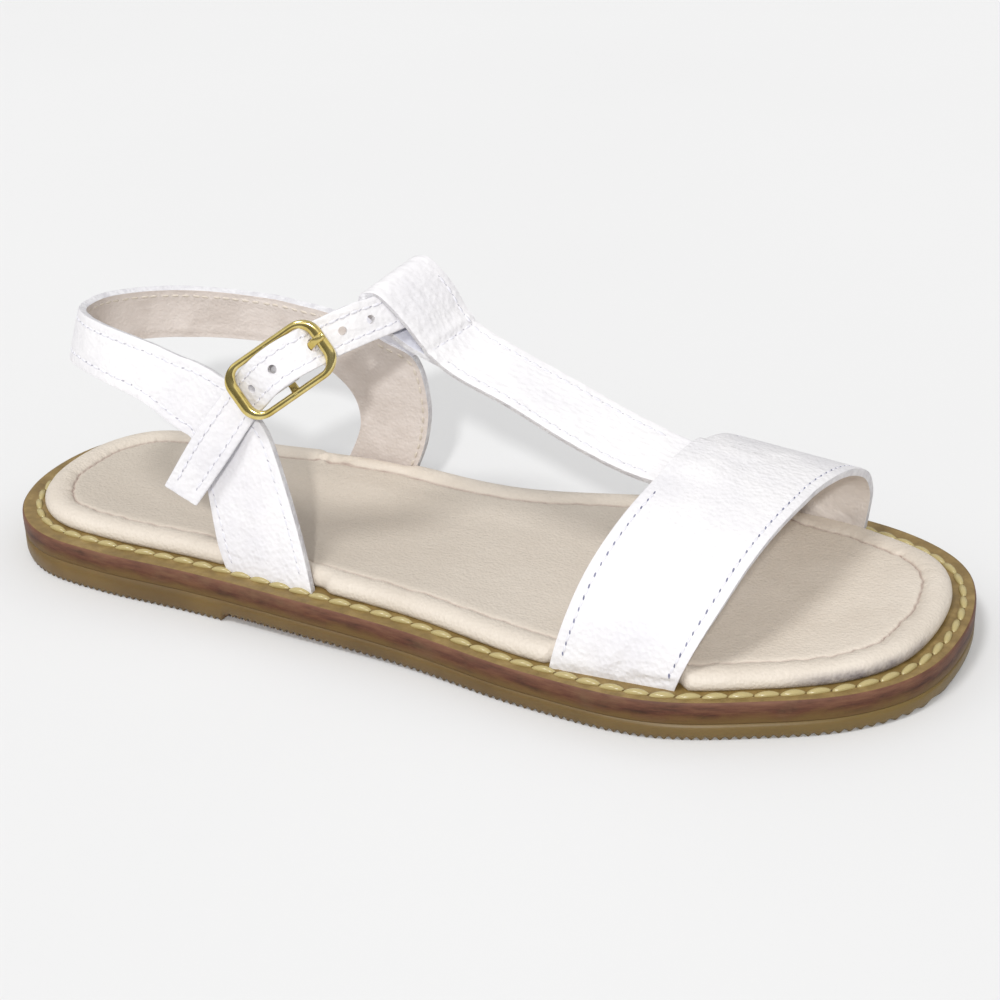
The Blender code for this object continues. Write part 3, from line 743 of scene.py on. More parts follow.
def makeWelt(look):
    build = bmesh.new()
    stitch = beadShape("welt stitch", (12, 9), 0, look["bend"])
    pit = beadShape("welt pit", (8, 5), 1)
    tipOut, tipTurn, tipRun = look["tipOut"]
    for turn in outlineWalk(look["walkDepth"], look["pitch"]):
        near = outlinePoint(turn)
        away = look["fromRim"] + tipOut * hump(turn, tipTurn, tipRun)
        spot = insetPoint(turn, bareWidth(turn, look["follow"]) - away)
        inward = Vector((*inwardAt(turn), 0.0))
        travel = Vector((inward.y, -inward.x, 0.0))
        travel.z = (ledgeHeight(near.x + 1) - ledgeHeight(near.x - 1)) / 2 * travel.x
        axis = travel + inward * (look["slant"] + random.uniform(-0.04, 0.04))
        out = inward.cross(travel) if inward.cross(travel).z > 0 else travel.cross(inward)
        axes = (axis, out.cross(axis), out)
        middle = Vector((*spot, ledgeHeight(spot.x) + look["above"]))
        size = random.uniform(0.95, 1.05)
        addBead(build, stitch, middle, axes, (
            look["length"], look["width"] * size, look["height"] * size))
        # a dark pit in the gap after the stitch: painted shadow
        gap = middle + axis.normalized() * look["pitch"] / 2 - inward * look["pitOut"]
        gap.z = ledgeHeight(gap.x) - look["pitDrop"]
        addBead(build, pit, gap, axes, look["pit"])
    return build


# its light stop is a painted highlight, its shade stop painted shade between the strands
weltThread = newFinish("waxed welt thread", threadPaint, (240, 232, 202), (178, 163, 114), 0.24)
weltPitShade = leather("welt hole", "pit", (112, 90, 50), (88, 68, 36))
finishPiece("welt_stitches", makeWelt(weltLook), (weltThread, weltPitShade), "midsole")

# Footbed: padded leather, a puffy rim and a puckered sewn groove round the recess
footbedLook = dict(
    segments=720, spineEnds=(34.0, 166.0), recess=2.2, under=-0.25,
    spineShares=(0.08, 0.16, 0.26, 0.38, 0.5, 0.62, 0.75, 0.88, 1.0),
    rim=(  # in from the ledge, height, share of the strap notch
        (1.2, -0.25, 1.0), (0.4, -0.2, 1.0), (0.14, 0.2, 1.0), (0.02, 0.6, 1.0), (0.0, 1.0, 1.0),
        (0.08, 1.45, 1.0), (0.3, 1.9, 1.0), (0.65, 2.35, 1.0), (1.15, 2.72, 0.95),
        (1.8, 2.98, 0.88), (2.5, 3.1, 0.78), (3.2, 3.1, 0.65), (3.9, 3.0, 0.5), (4.5, 2.82, 0.3),
        (5.0, 2.6, 0.2), (5.4, 2.36, 0.1), (5.62, 2.16, 0.0), (5.76, 1.94, 0.0),
        (5.9, 2.1, 0.0), (6.15, 2.26, 0.0), (6.6, 2.36, 0.0), (7.3, 2.38, 0.0), (8.2, 2.34, 0.0),
        (9.4, 2.28, 0.0)),
    seam=(5.76, 1.3, 0.2),  # depth of the sewn groove, how wide it wanders, how wide it is dark
    gathers=((0.11, 3.0, 0.45), (0.42, 9.0, 0.5)),  # slow and quick: pace, seed, size
    pucker=(0.9, 0.26, 4.9, 0.9),  # in and out, up and down, at this depth, over this width
    toeDrop=(0.45, 2.8, 2.0),  # the rim is lower beside the big toe: height, depth, width
    notches=(  # side, rear, front, wall distance from the sole edge
        (-1, 128.0, 158.5, 6.9), (1, 143.0, 178.0, 7.5), (-1, 55.0, 81.5, 6.4),
        (1, 57.5, 81.0, 6.4)),
    notchRamp=3.0,
    arch=(73.0, 22.0, 2.5, 1.0, 13.0),  # padded inner waist: middle, spread, height, from y, run
    dishes=((36.0, 22.0, 0.0, 16.0, 0.35), (140.0, 24.0, -2.0, 24.0, 0.3)),  # heel and ball
    wave=(0.07, 0.1),
    pleats=((59.9, 16.4, 1.9, 1.0), (65.9, 15.7, 1.9, 1.0)),  # x, y, half length, half width
    pleatForm=((0.5, 0.9, 0.34), (-0.3, 0.0, 0.45)),  # ridge and dip: height, place, spread
    grooveTone=(0.62, 0.5, 260.0),  # darkness of the seam, its change, how often it changes
    recessShade=(0.12, 4.6, 2.4),  # painted shade: its share on the rim, depth at which it grows, over this width
    dirt=(1.9, 2.8, 1.8),  # strength of the scuffs, below this height, over this height
    scuffs=((180.0, -35.0, 5.0), (184.9, -30.6, 6.0), (190.8, -25.1, 6.5), (195.4, -18.2, 5.0)))


def footbedPaint(tree):
    where = objectPlace(tree)
    beige = ramp(tree, cloudy(tree, where, 55.0, 4.0), (0.3, 209, 198, 184), (0.7, 222, 212, 199))
    # painted shade: the beige is darkened towards the heel and across the recess, standing for the
    # shade of the upper
    lengthwise = addNode(tree, "ShaderNodeSeparateXYZ", {"Vector": where}).outputs["X"]
    heelward = ranged(tree, lengthwise, (0.075, -0.02), (0.0, 0.8))
    paintedShade = combined(tree, heelward, attribute(tree, "recessShade"))
    shadedBeige = tintOver(tree, paintedShade, beige, (190, 180, 167))
    sewn = tintOver(tree, attribute(tree, "groove"), shadedBeige, (144, 116, 108))
    rubbed = combined(tree, attribute(tree, "wear"), cloudy(tree, where, 320.0, 6.0, 0.7))
    pores = addNode(tree, "ShaderNodeTexVoronoi", {"Vector": where, "Scale": 1500.0})
    fine = bumpUp(tree, pores.outputs["Distance"], 0.5, 0.22)
    return {"Base Color": tintOver(tree, rubbed, sewn, (112, 104, 108)),
            "Normal": bumpUp(tree, cloudy(tree, where, 420.0, 5.0), 0.45, 0.3, fine),
            "Roughness": 0.55}


def notchAt(turn):  # the footbed gives way to the feet of the straps
    x, y = outlinePoint(turn)
    depth = 0.0
    for side, rear, front, wall in footbedLook["notches"]:
        if side * y > 0:
            run = footbedLook["notchRamp"]
            ramped = ease(x, rear, run) * ease(front, x, run)
            depth = max(depth, (wall - bareWidth(turn)) * ramped)
    return depth


def makeFootbed(look):
    build = bmesh.new()
    groove, wear, recessShade = (build.verts.layers.float.new(name) for name in (
        "groove", "wear", "recessShade"))
    rows = look["rim"]
    seam, wander, dark = look["seam"]

    def gather(turn):  # how far the sewn seam wanders in or out
        spot = outlinePoint(turn)
        return sum(size * noise.noise(Vector((spot.x * pace, spot.y * pace, seed)))
                   for pace, seed, size in look["gathers"])

    def archAt(x, y):
        middle, spread, height, *edge = look["arch"]
        return height * hump(x, middle, spread) * ease(y, *edge)

    def pleat(spot):
        lift = 0.0
        for x, y, long, wide in look["pleats"]:
            away = math.hypot((spot.x - x) / long, (spot.y - y) / wide)
            lift += sum(high * hump(away, place, spread)
                        for high, place, spread in look["pleatForm"])
        return lift

    def shape(turn, row):
        depth, height, share = row
        ragged = gather(turn)
        inOut, upDown, puckerDepth, puckerWidth = look["pucker"]
        drop, dropDepth, dropWidth = look["toeDrop"]
        moved = depth + inOut * ragged * hump(depth, seam, wander)
        spot = insetPoint(turn, bareWidth(turn) + moved + share * notchAt(turn))
        height += upDown * ragged * hump(depth, puckerDepth, puckerWidth)
        height -= drop * toeShare(turn) * hump(depth, dropDepth, dropWidth)
        height += archAt(*spot) * smoothStep(height / 2.0)
        return (*spot, footHeight(outlinePoint(turn).x) + height + pleat(spot))

    def dished(x, y):
        height = footHeight(x) + look["recess"] + archAt(x, y)
        for middle, long, centre, wide, depth in look["dishes"]:
            height -= depth * hump(x, middle, long) * hump(y, centre, wide)
        pace, size = look["wave"]
        return height + size * noise.noise(Vector((x * pace, y * pace, 1.0)))

    edges = soleRings(build, look["segments"], rows, shape)
    rowMark = build.verts.layers.float["row"]
    turnMark = build.verts.layers.float["turn"]
    tone, toneChange, tonePace = look["grooveTone"]
    least, *recessShadeEdge = look["recessShade"]
    for vert in build.verts:
        depth = rows[round(vert[rowMark] * (len(rows) - 1))][0]
        patchy = noise.noise(Vector((vert[turnMark] * tonePace, 2.0, 5.0)))
        vert[groove] = (tone + toneChange * patchy) * hump(depth, seam, dark)
        # painted shade mask, weak on the rim and full in the recess
        vert[recessShade] = mix(least, 1.0, ease(depth, *recessShadeEdge))
    toSpine(build, edges, look["spineShares"], dished, look["spineEnds"])
    edges = [edge for edge in build.edges if edge.is_boundary]
    toSpine(build, edges, (0.5, 1.0), lambda x, y: footHeight(x) + look["under"],
            look["spineEnds"])
    bmesh.ops.recalc_face_normals(build, faces=build.faces)
    strength, below, fade = look["dirt"]
    for vert in build.verts:
        spot = vert.co / mm - shift
        rub = max(hump(math.dist(spot.xy, scuff[:2]), 0.0, scuff[2]) for scuff in look["scuffs"])
        vert[wear] = strength * rub * ease(footHeight(spot.x) + below, spot.z, fade)
    return build


footbed = finishPiece("footbed", makeFootbed(footbedLook),
                      (newFinish("beige footbed leather", footbedPaint),), "insole", "insole")

# Toe strap: one arched band, the T-bar sewn underneath it shows as a soft bump
toeLook = dict(
    thick=1.6, edgeRound=0.45, steps=150, across=40, smoothing=24, columns=12, footDrop=0.15,
    rearArch=(-41.0, 31.8, 36.0, 2.25),  # lateral foot, medial foot, crest height, squareness
    frontArch=(-41.8, 30.2, 32.2, 2.25),
    edges=(  # share across, rear edge, front edge
        (0.00, 130.5, 154.5), (0.20, 135.5, 161.5), (0.40, 141.5, 167.0), (0.60, 146.5, 172.5),
        (0.75, 149.0, 175.0), (0.88, 148.6, 174.8), (1.00, 147.0, 173.2)),
    creases=(  # from u, v to u, v, width, height
        (0.030, 0.30, 0.105, 0.40, 1.3, -0.22), (0.022, 0.43, 0.085, 0.49, 1.0, 0.22),
        (0.026, 0.53, 0.080, 0.57, 0.9, -0.22), (0.030, 0.64, 0.065, 0.66, 0.9, 0.16),
        (0.014, 0.68, 0.016, 0.95, 0.6, -0.30), (0.026, 0.70, 0.028, 0.94, 0.6, 0.22),
        (0.018, 0.10, 0.020, 0.30, 0.8, 0.18), (0.075, 0.20, 0.150, 0.24, 1.6, -0.12),
        (0.955, 0.55, 0.985, 0.72, 0.9, -0.28), (0.950, 0.78, 0.980, 0.90, 0.8, 0.22),
        (0.940, 0.30, 0.975, 0.42, 1.0, -0.22), (0.520, 0.42, 0.600, 0.62, 1.2, -0.16),
        (0.560, 0.40, 0.640, 0.58, 1.2, 0.16)),
    bump=((-13.5, 7.0), (5.0, -1.6), (0.62, -0.42), 0.95),  # over the T-bar: from y, y, v, height
    seams=(  # at the far edge or not, from u to u; the rear row stops beside the T-bar
        (True, 0.03, 0.97), (False, 0.03, 0.40), (False, 0.68, 0.97)))


def toeArch(arch, share):
    lateral, medial, crest, square = arch
    cosine = math.cos(math.pi * share)
    sideways = math.copysign(abs(cosine) ** (2.0 / square), cosine)
    across = (lateral + medial) / 2 - (medial - lateral) / 2 * sideways
    return across, abs(math.sin(math.pi * share)) ** (2.0 / square), crest


def toeSections(look):
    places = evenly(look["steps"])
    edges = [tableRow(look["edges"], place) for place in places]
    for count in range(look["smoothing"]):
        inner = [[(a[k] + 2 * b[k] + c[k]) / 4 for k in (0, 1)]
                 for a, b, c in zip(edges, edges[1:], edges[2:])]
        edges = [edges[0]] + inner + [edges[-1]]
    sections = []
    for place, (rear, front) in zip(places, edges):
        arches = [toeArch(look[name], place) for name in ("rearArch", "frontArch")]
        section = []
        for share in evenly(look["columns"]):
            x = mix(rear, front, share)
            y, rise, crest = (mix(a, b, share) for a, b in zip(*arches))
            foot = ledgeHeight(x) - look["footDrop"]
            section.append(Vector((x, y, foot + (crest - foot) * rise)))
        sections.append(section)
    return sections


def barUnder(spot, v):  # how far the T-bar underneath lifts the strap
    *edges, height = toeLook["bump"]
    for value, edge in zip((spot.y, spot.y, v), edges):
        height *= ease(value, *edge)
    return height


toeShape = lofted(toeSections(toeLook))
toeRise = leatherRise(toeShape, toeLook["creases"], barUnder)
leatherPiece("toe_strap", toeShape, 1, toeLook, toeRise, (whiteLeather, litToeLining, edgeLeather),
             "front_upper", "front_upper")

# T-bar: runs back from under the toe strap and folds into a loop at the ankle
barLook = dict(
    thick=1.2, edgeRound=0.35, steps=190, across=18,
    rows=(  # lateral edge x, y, z and medial edge x, y, z
        (160.0, -9.6, 31.5, 161.0, 3.6, 32.0), (151.0, -9.9, 32.2, 153.0, 3.4, 33.6),
        (143.0, -10.0, 32.6, 146.0, 3.2, 35.2), (134.5, -9.4, 34.0, 133.5, 3.5, 39.6),
        (123.5, -8.7, 38.0, 121.5, 4.0, 44.8), (111.0, -7.8, 43.8, 109.3, 4.5, 50.0),
        (100.0, -6.8, 48.0, 101.0, 5.6, 53.6), (95.2, -7.0, 51.8, 98.0, 6.0, 56.6),
        (91.2, -7.5, 57.2, 95.6, 5.7, 61.2), (87.2, -8.0, 61.8, 92.6, 5.0, 65.2),
        (84.6, -8.4, 63.6, 90.2, 4.8, 67.0), (81.8, -8.5, 62.9, 87.4, 4.6, 66.5),
        (81.7, -8.2, 60.0, 86.8, 4.8, 63.8), (85.0, -6.6, 55.6, 89.6, 5.4, 58.9),
        (90.2, -6.0, 51.4, 94.0, 5.8, 54.2), (94.6, -5.8, 49.4, 97.2, 6.0, 52.2),
        (98.4, -5.6, 47.6, 100.0, 5.8, 51.0)),
    creases=(  # from u, v to u, v, width, height
        (0.632, 0.0, 0.598, 1.0, 0.5, -0.3), (0.644, 0.0, 0.610, 1.0, 0.8, 0.2),
        (0.650, 0.24, 0.735, 0.22, 0.7, -0.16), (0.645, 0.38, 0.725, 0.37, 0.7, -0.16),
        (0.640, 0.52, 0.715, 0.54, 0.7, -0.15), (0.635, 0.67, 0.705, 0.72, 0.7, -0.13),
        (0.650, 0.31, 0.720, 0.30, 0.6, 0.12), (0.645, 0.45, 0.715, 0.46, 0.6, 0.12),
        (0.480, 0.30, 0.580, 0.36, 0.9, -0.12), (0.500, 0.62, 0.580, 0.60, 0.9, -0.12),
        (0.240, 0.35, 0.340, 0.42, 1.4, -0.14), (0.270, 0.62, 0.380, 0.58, 1.4, -0.14)),
    seams=((False, 0.2, 0.61), (True, 0.2, 0.74)),
    loopSeam=((0.632, 0.03), (0.598, 0.97)))  # from u, v to u, v


barShape = lofted([(Vector(row[:3]), Vector(row[3:]))
                   for row in smoothRows(barLook["rows"], barLook["steps"])])
barRise = leatherRise(barShape, barLook["creases"])
leatherPiece("t_bar", barShape, 1, barLook, barRise, (barLeather, shadedWhiteBacking, edgeLeather),
             "front_upper")
seamPiece("front_stitches", toeShape, 1, toeRise, toeLook["seams"], (whiteThread, needleHoleShade),
          "front_upper")
seamPiece("bar_stitches", barShape, 1, barRise, barLook["seams"], (whiteThread, softHoleShade),
          "front_upper", barLook["loopSeam"], fromEdge=1.6, holes=0.5)

# Heel band with its two side quarters, one wall lined in beige
backLook = dict(
    thick=1.6, edgeRound=0.45, steps=260, across=24, columns=12, turn=50.0, square=2.3,
    rear=(12.6, 38.5, 0.28),  # x behind the heel, at this height, growth with height
    footInset=4.0, footSink=0.45,
    lean=(10.0, 0.12, 0.0020, 0.5),  # from this height, straight, curved, share on the inner side
    rows=(70, 90, 80),  # sections of lateral quarter, band and medial quarter
    band=(  # angle round the heel, low edge, top edge
        (-90.0, 35.2, 49.7), (-75.0, 40.5, 52.0), (-50.0, 42.6, 53.1), (-25.0, 42.2, 52.8),
        (0.0, 40.2, 51.8), (30.0, 38.6, 50.5), (60.0, 38.1, 49.7), (90.0, 37.8, 48.7)),
    lateral=(  # rear edge x and height, front edge x and height; None stands on the welt
        (52.0, 32.4, 54.0, 48.7), (53.2, 29.2, 57.4, 47.5), (54.0, 26.0, 60.2, 47.3),
        (54.6, 23.4, 64.4, 42.4), (55.2, 20.6, 68.0, 38.3), (55.8, 17.6, 72.0, 29.5),
        (56.5, 14.6, 75.1, 21.0), (57.4, 12.0, 77.0, 14.4), (58.4, None, 78.2, None)),
    medial=(
        (56.0, 36.4, 55.5, 48.3), (61.4, 33.4, 61.5, 47.9), (65.2, 30.2, 68.0, 46.8),
        (66.9, 26.9, 75.0, 43.1), (67.3, 23.6, 81.6, 39.6), (66.7, 20.4, 83.7, 29.5),
        (65.1, 16.6, 82.6, 21.0), (63.1, 12.8, 80.2, 14.4), (61.0, None, 77.5, None)),
    creases=(  # from u, v to u, v, width, height
        (0.030, 0.20, 0.075, 0.36, 1.2, -0.18), (0.040, 0.48, 0.095, 0.60, 1.2, 0.18),
        (0.022, 0.66, 0.080, 0.80, 1.0, -0.18), (0.120, 0.30, 0.165, 0.62, 1.6, -0.14),
        (0.105, 0.55, 0.140, 0.85, 1.4, 0.12), (0.330, 0.15, 0.350, 0.70, 2.0, -0.16),
        (0.405, 0.30, 0.415, 0.85, 2.0, -0.14), (0.600, 0.20, 0.615, 0.75, 2.2, -0.16),
        (0.930, 0.25, 0.965, 0.50, 1.2, -0.16), (0.880, 0.30, 0.930, 0.42, 1.4, 0.14)),
    seams=((False, 0.02, 0.98), (True, 0.02, 0.98)))


def wallPoint(x, height, side):
    start, straight, curved, innerShare = backLook["lean"]
    rise = max(height - start, 0.0)
    lean = (straight * rise + curved * rise * rise) * (1.0 if side < 0 else innerShare)
    half = widthAt(x, 0 if side < 0 else 1) - backLook["footInset"] - lean
    return Vector((x, side * half, height))


def heelPoint(angle, height):
    behind, level, growth = backLook["rear"]
    rear = behind + growth * (height - level)
    power = 2.0 / backLook["square"]
    turn = math.radians(abs(angle))
    wide = wallPoint(backLook["turn"], height, -1 if angle < 0 else 1)
    x = backLook["turn"] - (backLook["turn"] - rear) * math.cos(turn) ** power
    return Vector((x, wide.y * math.sin(turn) ** power, height))


def quarterSections(rows, side, steps, columns):
    full = []
    for rearX, rearZ, frontX, frontZ in rows:
        full.append((rearX, footHeight(rearX) if rearZ is None else rearZ,
                     frontX, footHeight(frontX) if frontZ is None else frontZ))
    sections = []
    for rearX, rearZ, frontX, frontZ in smoothRows(full, steps):
        section = []
        for share in evenly(columns):
            x = mix(rearX, frontX, share)
            height = max(mix(rearZ, frontZ, share), footHeight(x))
            section.append(wallPoint(x, height, side))
        sections.append(section)
    for spot in sections[-1]:
        spot.z -= backLook["footSink"]  # the foot goes just into the welt
    return sections


def backSections(look):
    columns, turn = look["columns"], look["turn"]
    outerRows, bandRows, innerRows = look["rows"]
    heel = []
    for angle, low, top in smoothRows(look["band"], bandRows):
        heel.append([heelPoint(angle, mix(low, top, share)) for share in evenly(columns)])
    first, last = ((turn, row[1], turn, row[2]) for row in (look["band"][0], look["band"][-1]))
    lateral = quarterSections((first,) + look["lateral"], -1, outerRows, columns)
    medial = quarterSections((last,) + look["medial"], 1, innerRows, columns)
    return lateral[:0:-1] + heel + medial[1:]


backShape = lofted(backSections(backLook))
backRise = leatherRise(backShape, backLook["creases"])
leatherPiece("heel_band", backShape, 1, backLook, backRise, linedFinishes, "back_upper",
             "back_upper")
seamPiece("back_stitches", backShape, 1, backRise, backLook["seams"], (whiteThread, softHoleShade),
          "back_upper", holes=0.8)
seamPiece("lining_stitches", backShape, 1, backRise, backLook["seams"][1:], (creamThread,),
          "back_upper", inner=backLook["thick"], fromEdge=1.6, holes=0)

# Buckle: its own directions, along the strap, up across it and out from the foot
buckleLook = dict(
    left=(63.7, -26.5, 46.5), right=(78.7, -19.0, 57.4), up=(-0.61, 0.07, 0.79),
    length=21.5, width=13.0, corner=3.4, wire=1.05, bar=0.8, barDrop=-1.0, barSteps=14,
    barSides=14, railHalf=0.72, endHalf=1.12, thick=0.85, sides=24, cornerSteps=10, square=0.66)
along = (Vector(buckleLook["right"]) - Vector(buckleLook["left"])).normalized()
upward = Vector(buckleLook["up"])
upward = (upward - along * upward.dot(along)).normalized()
outward = along.cross(upward)
buckleMiddle = (Vector(buckleLook["left"]) + Vector(buckleLook["right"])) / 2


def bucklePoint(d, w, n):
    return buckleMiddle + along * d + upward * w + outward * n


# Ankle strap: from the inner quarter through the loop and the buckle to its free tip
strapLook = dict(
    thick=1.4, offset=0.0, edgeRound=0.45, steps=260, across=20, half=4.1,
    root=(  # rear edge x and height, front edge x and height: tucked in the quarter, at its rim
        (68.7, 43.0, 77.4, 37.4), (69.2, 47.0, 82.0, 40.6)),
    rootIn=0.55,
    base=(  # centre x, y, z and half width vector
        (81.2, 16.4, 49.8, -5.0, 1.1, 3.3), (88.4, 12.4, 55.8, -3.4, 0.9, 3.2),
        (92.8, 6.2, 59.0, -2.3, 0.4, 3.3), (90.5, 1.0, 59.9, -2.2, 0.3, 3.3),
        (87.1, -6.3, 59.2, -2.1, 0.1, 3.3), (82.8, -11.6, 58.4, -1.8, -0.1, 3.7)),
    overBuckle=(  # along the buckle, over its frame, across it
        (9.9, -3.1, 0.0), (8.6, -1.9, 0.15), (7.4, 0.0, 0.3), (6.0, 1.25, 0.5), (3.2, 2.0, 0.85),
        (0.0, 2.3, 0.95), (-3.2, 1.6, 0.7), (-6.2, -0.4, 0.15), (-9.9, -3.1, -0.6)),
    tip=((57.0, -26.2, 35.8, -3.3, 0.0, 2.4), (49.8, -27.6, 24.7, -3.3, 0.0, 1.7)),
    holes=((45.4, 1.7), (51.2, 1.7), (58.7, 2.7), (67.4, 1.8), (73.9, 1.8)),  # along, diameter
    holeSteps=800, punchLength=6.0, sharpAngle=48.0,
    seams=((False, 0.093, 0.985), (True, 0.093, 0.985)))


def strapSections(look):
    rows = []
    for rearX, rearZ, frontX, frontZ in look["root"]:
        rear, front = wallPoint(rearX, rearZ, 1), wallPoint(frontX, frontZ, 1)
        middle = (rear + front) / 2 - Vector((0.0, look["rootIn"], 0.0))
        rows.append((*middle, *((rear - front) / 2)))
    rows += look["base"]
    for d, n, w in look["overBuckle"]:
        rows.append((*bucklePoint(d, w, n), *(upward * look["half"])))
    rows += look["tip"]
    sections = []
    for row in smoothRows(rows, look["steps"]):
        centre, half = Vector(row[:3]), Vector(row[3:])
        sections.append((centre + half, centre - half))
    return sections


strapShape = lofted(strapSections(strapLook))
strapRise = leatherRise(strapShape)


def strapTop(u, v):
    return strapRise(u, v) + strapLook["thick"] / 2


def punchHoles(look):  # hole distances begin at the rim of the quarter
    build = bmesh.new()
    knots = evenly(look["holeSteps"])
    spots = [strapShape(u, 0.5) for u in knots]
    lengths = lengthsAlong(spots)
    rearX, rearZ, frontX, frontZ = look["root"][1]
    tucked = lengths[min(range(len(knots)), key=lambda k: math.hypot(
        spots[k].x - (rearX + frontX) / 2, spots[k].z - (rearZ + frontZ) / 2))]
    for distance, size in look["holes"]:
        place = min(range(len(knots)), key=lambda k: abs(lengths[k] - tucked - distance))
        out = facing(strapShape, knots[place], 0.5, -1)[0]
        turn = Vector((0.0, 0.0, 1.0)).rotation_difference(out).to_matrix().to_4x4()
        bmesh.ops.create_cone(build, cap_ends=True, segments=28, radius1=size / 2 * mm,
                              radius2=size / 2 * mm, depth=look["punchLength"] * mm,
                              matrix=Matrix.Translation(placed(spots[place])) @ turn)
    return linked("punch", meshFrom(build, "punch"))


strap = leatherPiece("ankle_strap_leather", strapShape, -1, strapLook, strapRise,
                     (whiteLeather, shadedWhiteBacking, edgeLeather), "ankle_strap", "ankle_strap")
punch = punchHoles(strapLook)
addModifier(strap, "holes", "BOOLEAN", operation="DIFFERENCE", solver="EXACT", object=punch)
bpy.context.view_layer.update()
punched = bpy.data.meshes.new_from_object(strap.evaluated_get(
    bpy.context.evaluated_depsgraph_get()))
strap.modifiers.clear()
strap.data = punched
punched.set_sharp_from_angle(angle=math.radians(strapLook["sharpAngle"]))
bpy.data.objects.remove(punch, do_unlink=True)
seamPiece("strap_stitches", strapShape, -1, strapTop, strapLook["seams"],
          (whiteThread, softHoleShade), "ankle_strap", fromEdge=1.7, holes=0.75)


# Buckle metal: frame, centre bar and prong
def goldPaint(tree, rough):
    where = objectPlace(tree)
    smudge = cloudy(tree, where, 240.0, 4.0)
    return {"Base Color": ramp(tree, smudge, (0.3, 206, 182, 100), (0.7, 236, 218, 150)),
            "Roughness": ranged(tree, smudge, (0.0, 1.0), (rough - 0.04, rough + 0.05)),
            "Normal": bumpUp(tree, cloudy(tree, where, 1500.0, 3.0), 0.06, 0.1),
            "Metallic": 1.0}


def sweep(frames, sides, closed, power=1.0):  # a section carried along the frames
    build = bmesh.new()
    first = build.verts.layers.float.new("sectionA")
    second = build.verts.layers.float.new("sectionB")
    verts = bmesh.ops.create_circle(build, segments=sides, radius=1.0, cap_ends=not closed)["verts"]
    edges = list(build.edges)
    start = list(edges)
    for vert in verts:
        vert[first], vert[second] = (
            math.copysign(abs(value) ** power, value) for value in vert.co.xy)
    for number, (middle, axisA, axisB) in enumerate(frames):
        if number:
            verts, edges = nextRing(build, edges)
        for vert in verts:
            vert.co = placed(middle + axisA * vert[first] + axisB * vert[second])
    if closed:
        bmesh.ops.bridge_loops(build, edges=start + edges)
    else:
        bmesh.ops.contextual_create(build, geom=edges)
    bmesh.ops.recalc_face_normals(build, faces=build.faces)
    return build


def roundBar(radius, start, run, steps):  # an arc round the centre bar
    turns = [math.radians(start + run * share) for share in evenly(steps)]
    return [(radius * math.cos(turn), buckleLook["barDrop"] + radius * math.sin(turn))
            for turn in turns]


def makeRing(look):
    frames = []
    reach, rise = look["length"] / 2 - look["wire"], look["width"] / 2 - look["wire"]
    for corner, (sideD, sideW) in enumerate(((1, 1), (-1, 1), (-1, -1), (1, -1))):
        for share in evenly(look["cornerSteps"]):
            turn = math.radians(90.0 * (corner + share))
            d = sideD * (reach - look["corner"]) + look["corner"] * math.cos(turn)
            w = sideW * (rise - look["corner"]) + look["corner"] * math.sin(turn)
            away = along * math.cos(turn) + upward * math.sin(turn)
            half = mix(look["railHalf"], look["endHalf"], math.cos(turn) ** 2)
            frames.append((bucklePoint(d, w, 0.0), away * half, outward * look["thick"]))
    return sweep(frames, look["sides"], True, look["square"])


def makeBar(look):
    rise = look["width"] / 2 - look["wire"]
    frames = []
    for share in evenly(look["barSteps"]):
        end = abs(2 * share - 1)
        waist = look["bar"] * (1.0 + 0.25 * end ** 6)
        spot = bucklePoint(0.0, mix(-rise, rise, share), look["barDrop"] * (1 - end ** 8))
        frames.append((spot, outward * waist, along * waist))
    return sweep(frames, look["barSides"], False)


gold = newFinish("polished gold plate", goldPaint, 0.12)
finishPiece("buckle_ring", makeRing(buckleLook), (gold,), "buckle_frame", "buckle_frame")
finishPiece("buckle_bar", makeBar(buckleLook), (gold,), "buckle_frame")

prongLook = dict(
    wide=0.74, thick=0.46, past=1.35, play=0.2, curl=(30.0, 263.0, 13), steps=60, sides=16,
    square=0.62, tipSteps=3, tipShare=0.9,
    askew=(-1.5, 0.75))  # place across the buckle at the bar and at the tip


def makeProng(look):
    ring = buckleLook["bar"] + look["play"] + look["thick"]
    tip = buckleLook["length"] / 2 - buckleLook["wire"]
    level = buckleLook["wire"] + look["thick"]
    rows = roundBar(ring, *look["curl"])
    rows += [(tip - 0.8, level - 0.15), (tip + 0.6, level), (tip + look["past"], level + 0.05)]
    last = look["steps"]
    points = smoothRows(rows, last)
    frames = []
    for index, (d, n) in enumerate(points):
        before, after = points[max(index - 1, 0)], points[min(index + 1, last)]
        travel = (along * (after[0] - before[0]) + outward * (after[1] - before[1])).normalized()
        taper = look["tipShare"] if index > last - look["tipSteps"] else 1.0
        across = mix(*look["askew"], smoothStep(d / tip))
        frames.append((bucklePoint(d, across, n), upward * look["wide"] * taper,
                       upward.cross(travel) * look["thick"] * taper))
    return sweep(frames, look["sides"], False, look["square"])


finishPiece("buckle_pin", makeProng(prongLook), (newFinish("gold plate pin", goldPaint, 0.2),),
            "buckle_prong", "buckle_prong")

# Leather tab that holds the buckle: a strip folded round the bar, slotted for the pin
tabLook = dict(
    width=6.8, thick=0.9, edgeRound=0.25, eye=0.25, steps=44, across=14,
    ends=(-9.4, -6.2, -4.6),  # along the buckle, under it for the lower and the upper end
    fold=(-115.0, 235.0, 12), slot=(-1.5, 1.9, -2.9))  # place across, width, end along the buckle


def tabSections(look):
    eye = buckleLook["bar"] + look["eye"] + look["thick"]
    tail, lower, upper = look["ends"]
    rows = [(tail, lower)] + roundBar(eye, *look["fold"]) + [(tail, upper)]
    half = look["width"] / 2
    return [(bucklePoint(d, -half, n), bucklePoint(d, half, n))
            for d, n in smoothRows(rows, look["steps"])]


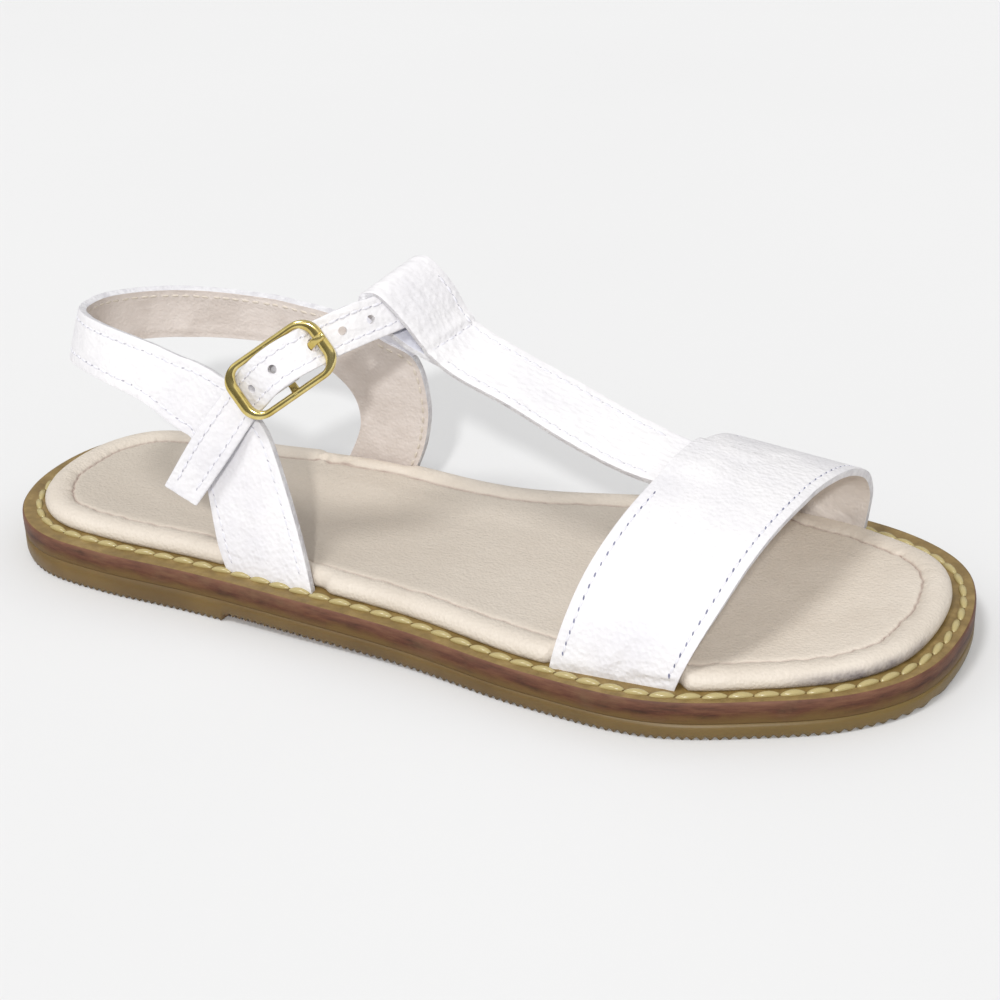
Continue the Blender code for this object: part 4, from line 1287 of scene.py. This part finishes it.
def cutSlot(build):
    place, wide, end = tabLook["slot"]
    slotted = []
    for face in build.faces:
        spot = face.calc_center_median() / mm - shift - buckleMiddle
        if abs(spot.dot(upward) - place) < wide / 2 and spot.dot(along) > end:
            slotted.append(face)
    bmesh.ops.delete(build, geom=slotted, context="FACES")


leatherPiece("buckle_holder", lofted(tabSections(tabLook)), 1, tabLook, lambda u, v: 0.0,
             linedFinishes, "buckle_tab", "buckle_tab", trim=cutSlot)


# Floor, light and camera
def floorPaint(tree):
    pale = ramp(tree, cloudy(tree, objectPlace(tree), 3.0), (0.3, 0.76), (0.7, 0.78))
    return {"Base Color": pale, "Roughness": 0.9, "Specular IOR Level": 0.1}


floorBuild = bmesh.new()
bmesh.ops.create_grid(floorBuild, x_segments=1, y_segments=1, size=8.0)
floor = linked("floor", meshFrom(floorBuild, "floor"))
floor.data.materials.append(newFinish("pale studio floor", floorPaint))
floor.location.z = -0.05 * mm

photoView = dict(azimuth=21.564, elevation=22.137, roll=-1.893, target=(100.0, 0.0, 10.0),
                 slide=(5.143, 40.915), distance=449.04, lens=80.67,
                 nod=4.3)  # turned down about the eye, so the shoe sits in the middle


def turnBy(degrees, axis):
    return Matrix.Rotation(math.radians(degrees), 4, axis)


turned = (turnBy(photoView["azimuth"], "Z") @ turnBy(90.0 - photoView["elevation"], "X")
          @ turnBy(photoView["roll"], "Z"))
viewRight, viewUp, viewBack = (turned.col[k].to_3d() for k in range(3))
eye = (Vector(photoView["target"]) + viewRight * photoView["slide"][0]
       + viewUp * photoView["slide"][1] + viewBack * photoView["distance"])
camera = linked("photo camera", bpy.data.cameras.new("photo camera"))
camera.data.lens = photoView["lens"]
camera.data.sensor_width = 36.0
camera.data.clip_start = 0.01
camera.matrix_world = Matrix.Translation(placed(eye)) @ turned @ turnBy(-photoView["nod"], "X")
bpy.context.scene.camera = camera

studio = dict(
    lamps=(  # name, strength, spread in degrees, toward it: view back, view left, up
        ("ceiling light", 1.1, 14.0, (0.40, 0.38, 0.80)),
        ("front light", 1.4, 3.0, (1.0, 0.09, 0.20))),
    sky=(  # height, brightness of the room, with a bright band of soft boxes
        (0.0, 0.17), (0.34, 0.27), (0.44, 1.0), (0.58, 1.0), (0.68, 0.48), (1.0, 0.65)))
for name, energy, spread, (back, left, high) in studio["lamps"]:
    lamp = linked(name, bpy.data.lights.new(name, "SUN"))
    lamp.data.energy = energy
    lamp.data.angle = math.radians(spread)
    toward = viewBack * back - viewRight * left + Vector((0.0, 0.0, high))
    lamp.rotation_euler = toward.to_track_quat("Z", "Y").to_euler()
world = bpy.data.worlds.new("studio")
world.use_nodes = True
room = world.node_tree
seen = addNode(room, "ShaderNodeTexCoord").outputs["Generated"]
height = addNode(room, "ShaderNodeSeparateXYZ", {"Vector": seen}).outputs["Z"]
feed(room, room.nodes["Background"].inputs["Color"], ramp(room, height, *studio["sky"]))
bpy.context.scene.world = world
bpy.context.scene.view_settings.view_transform = "Standard"
print("stage ready")
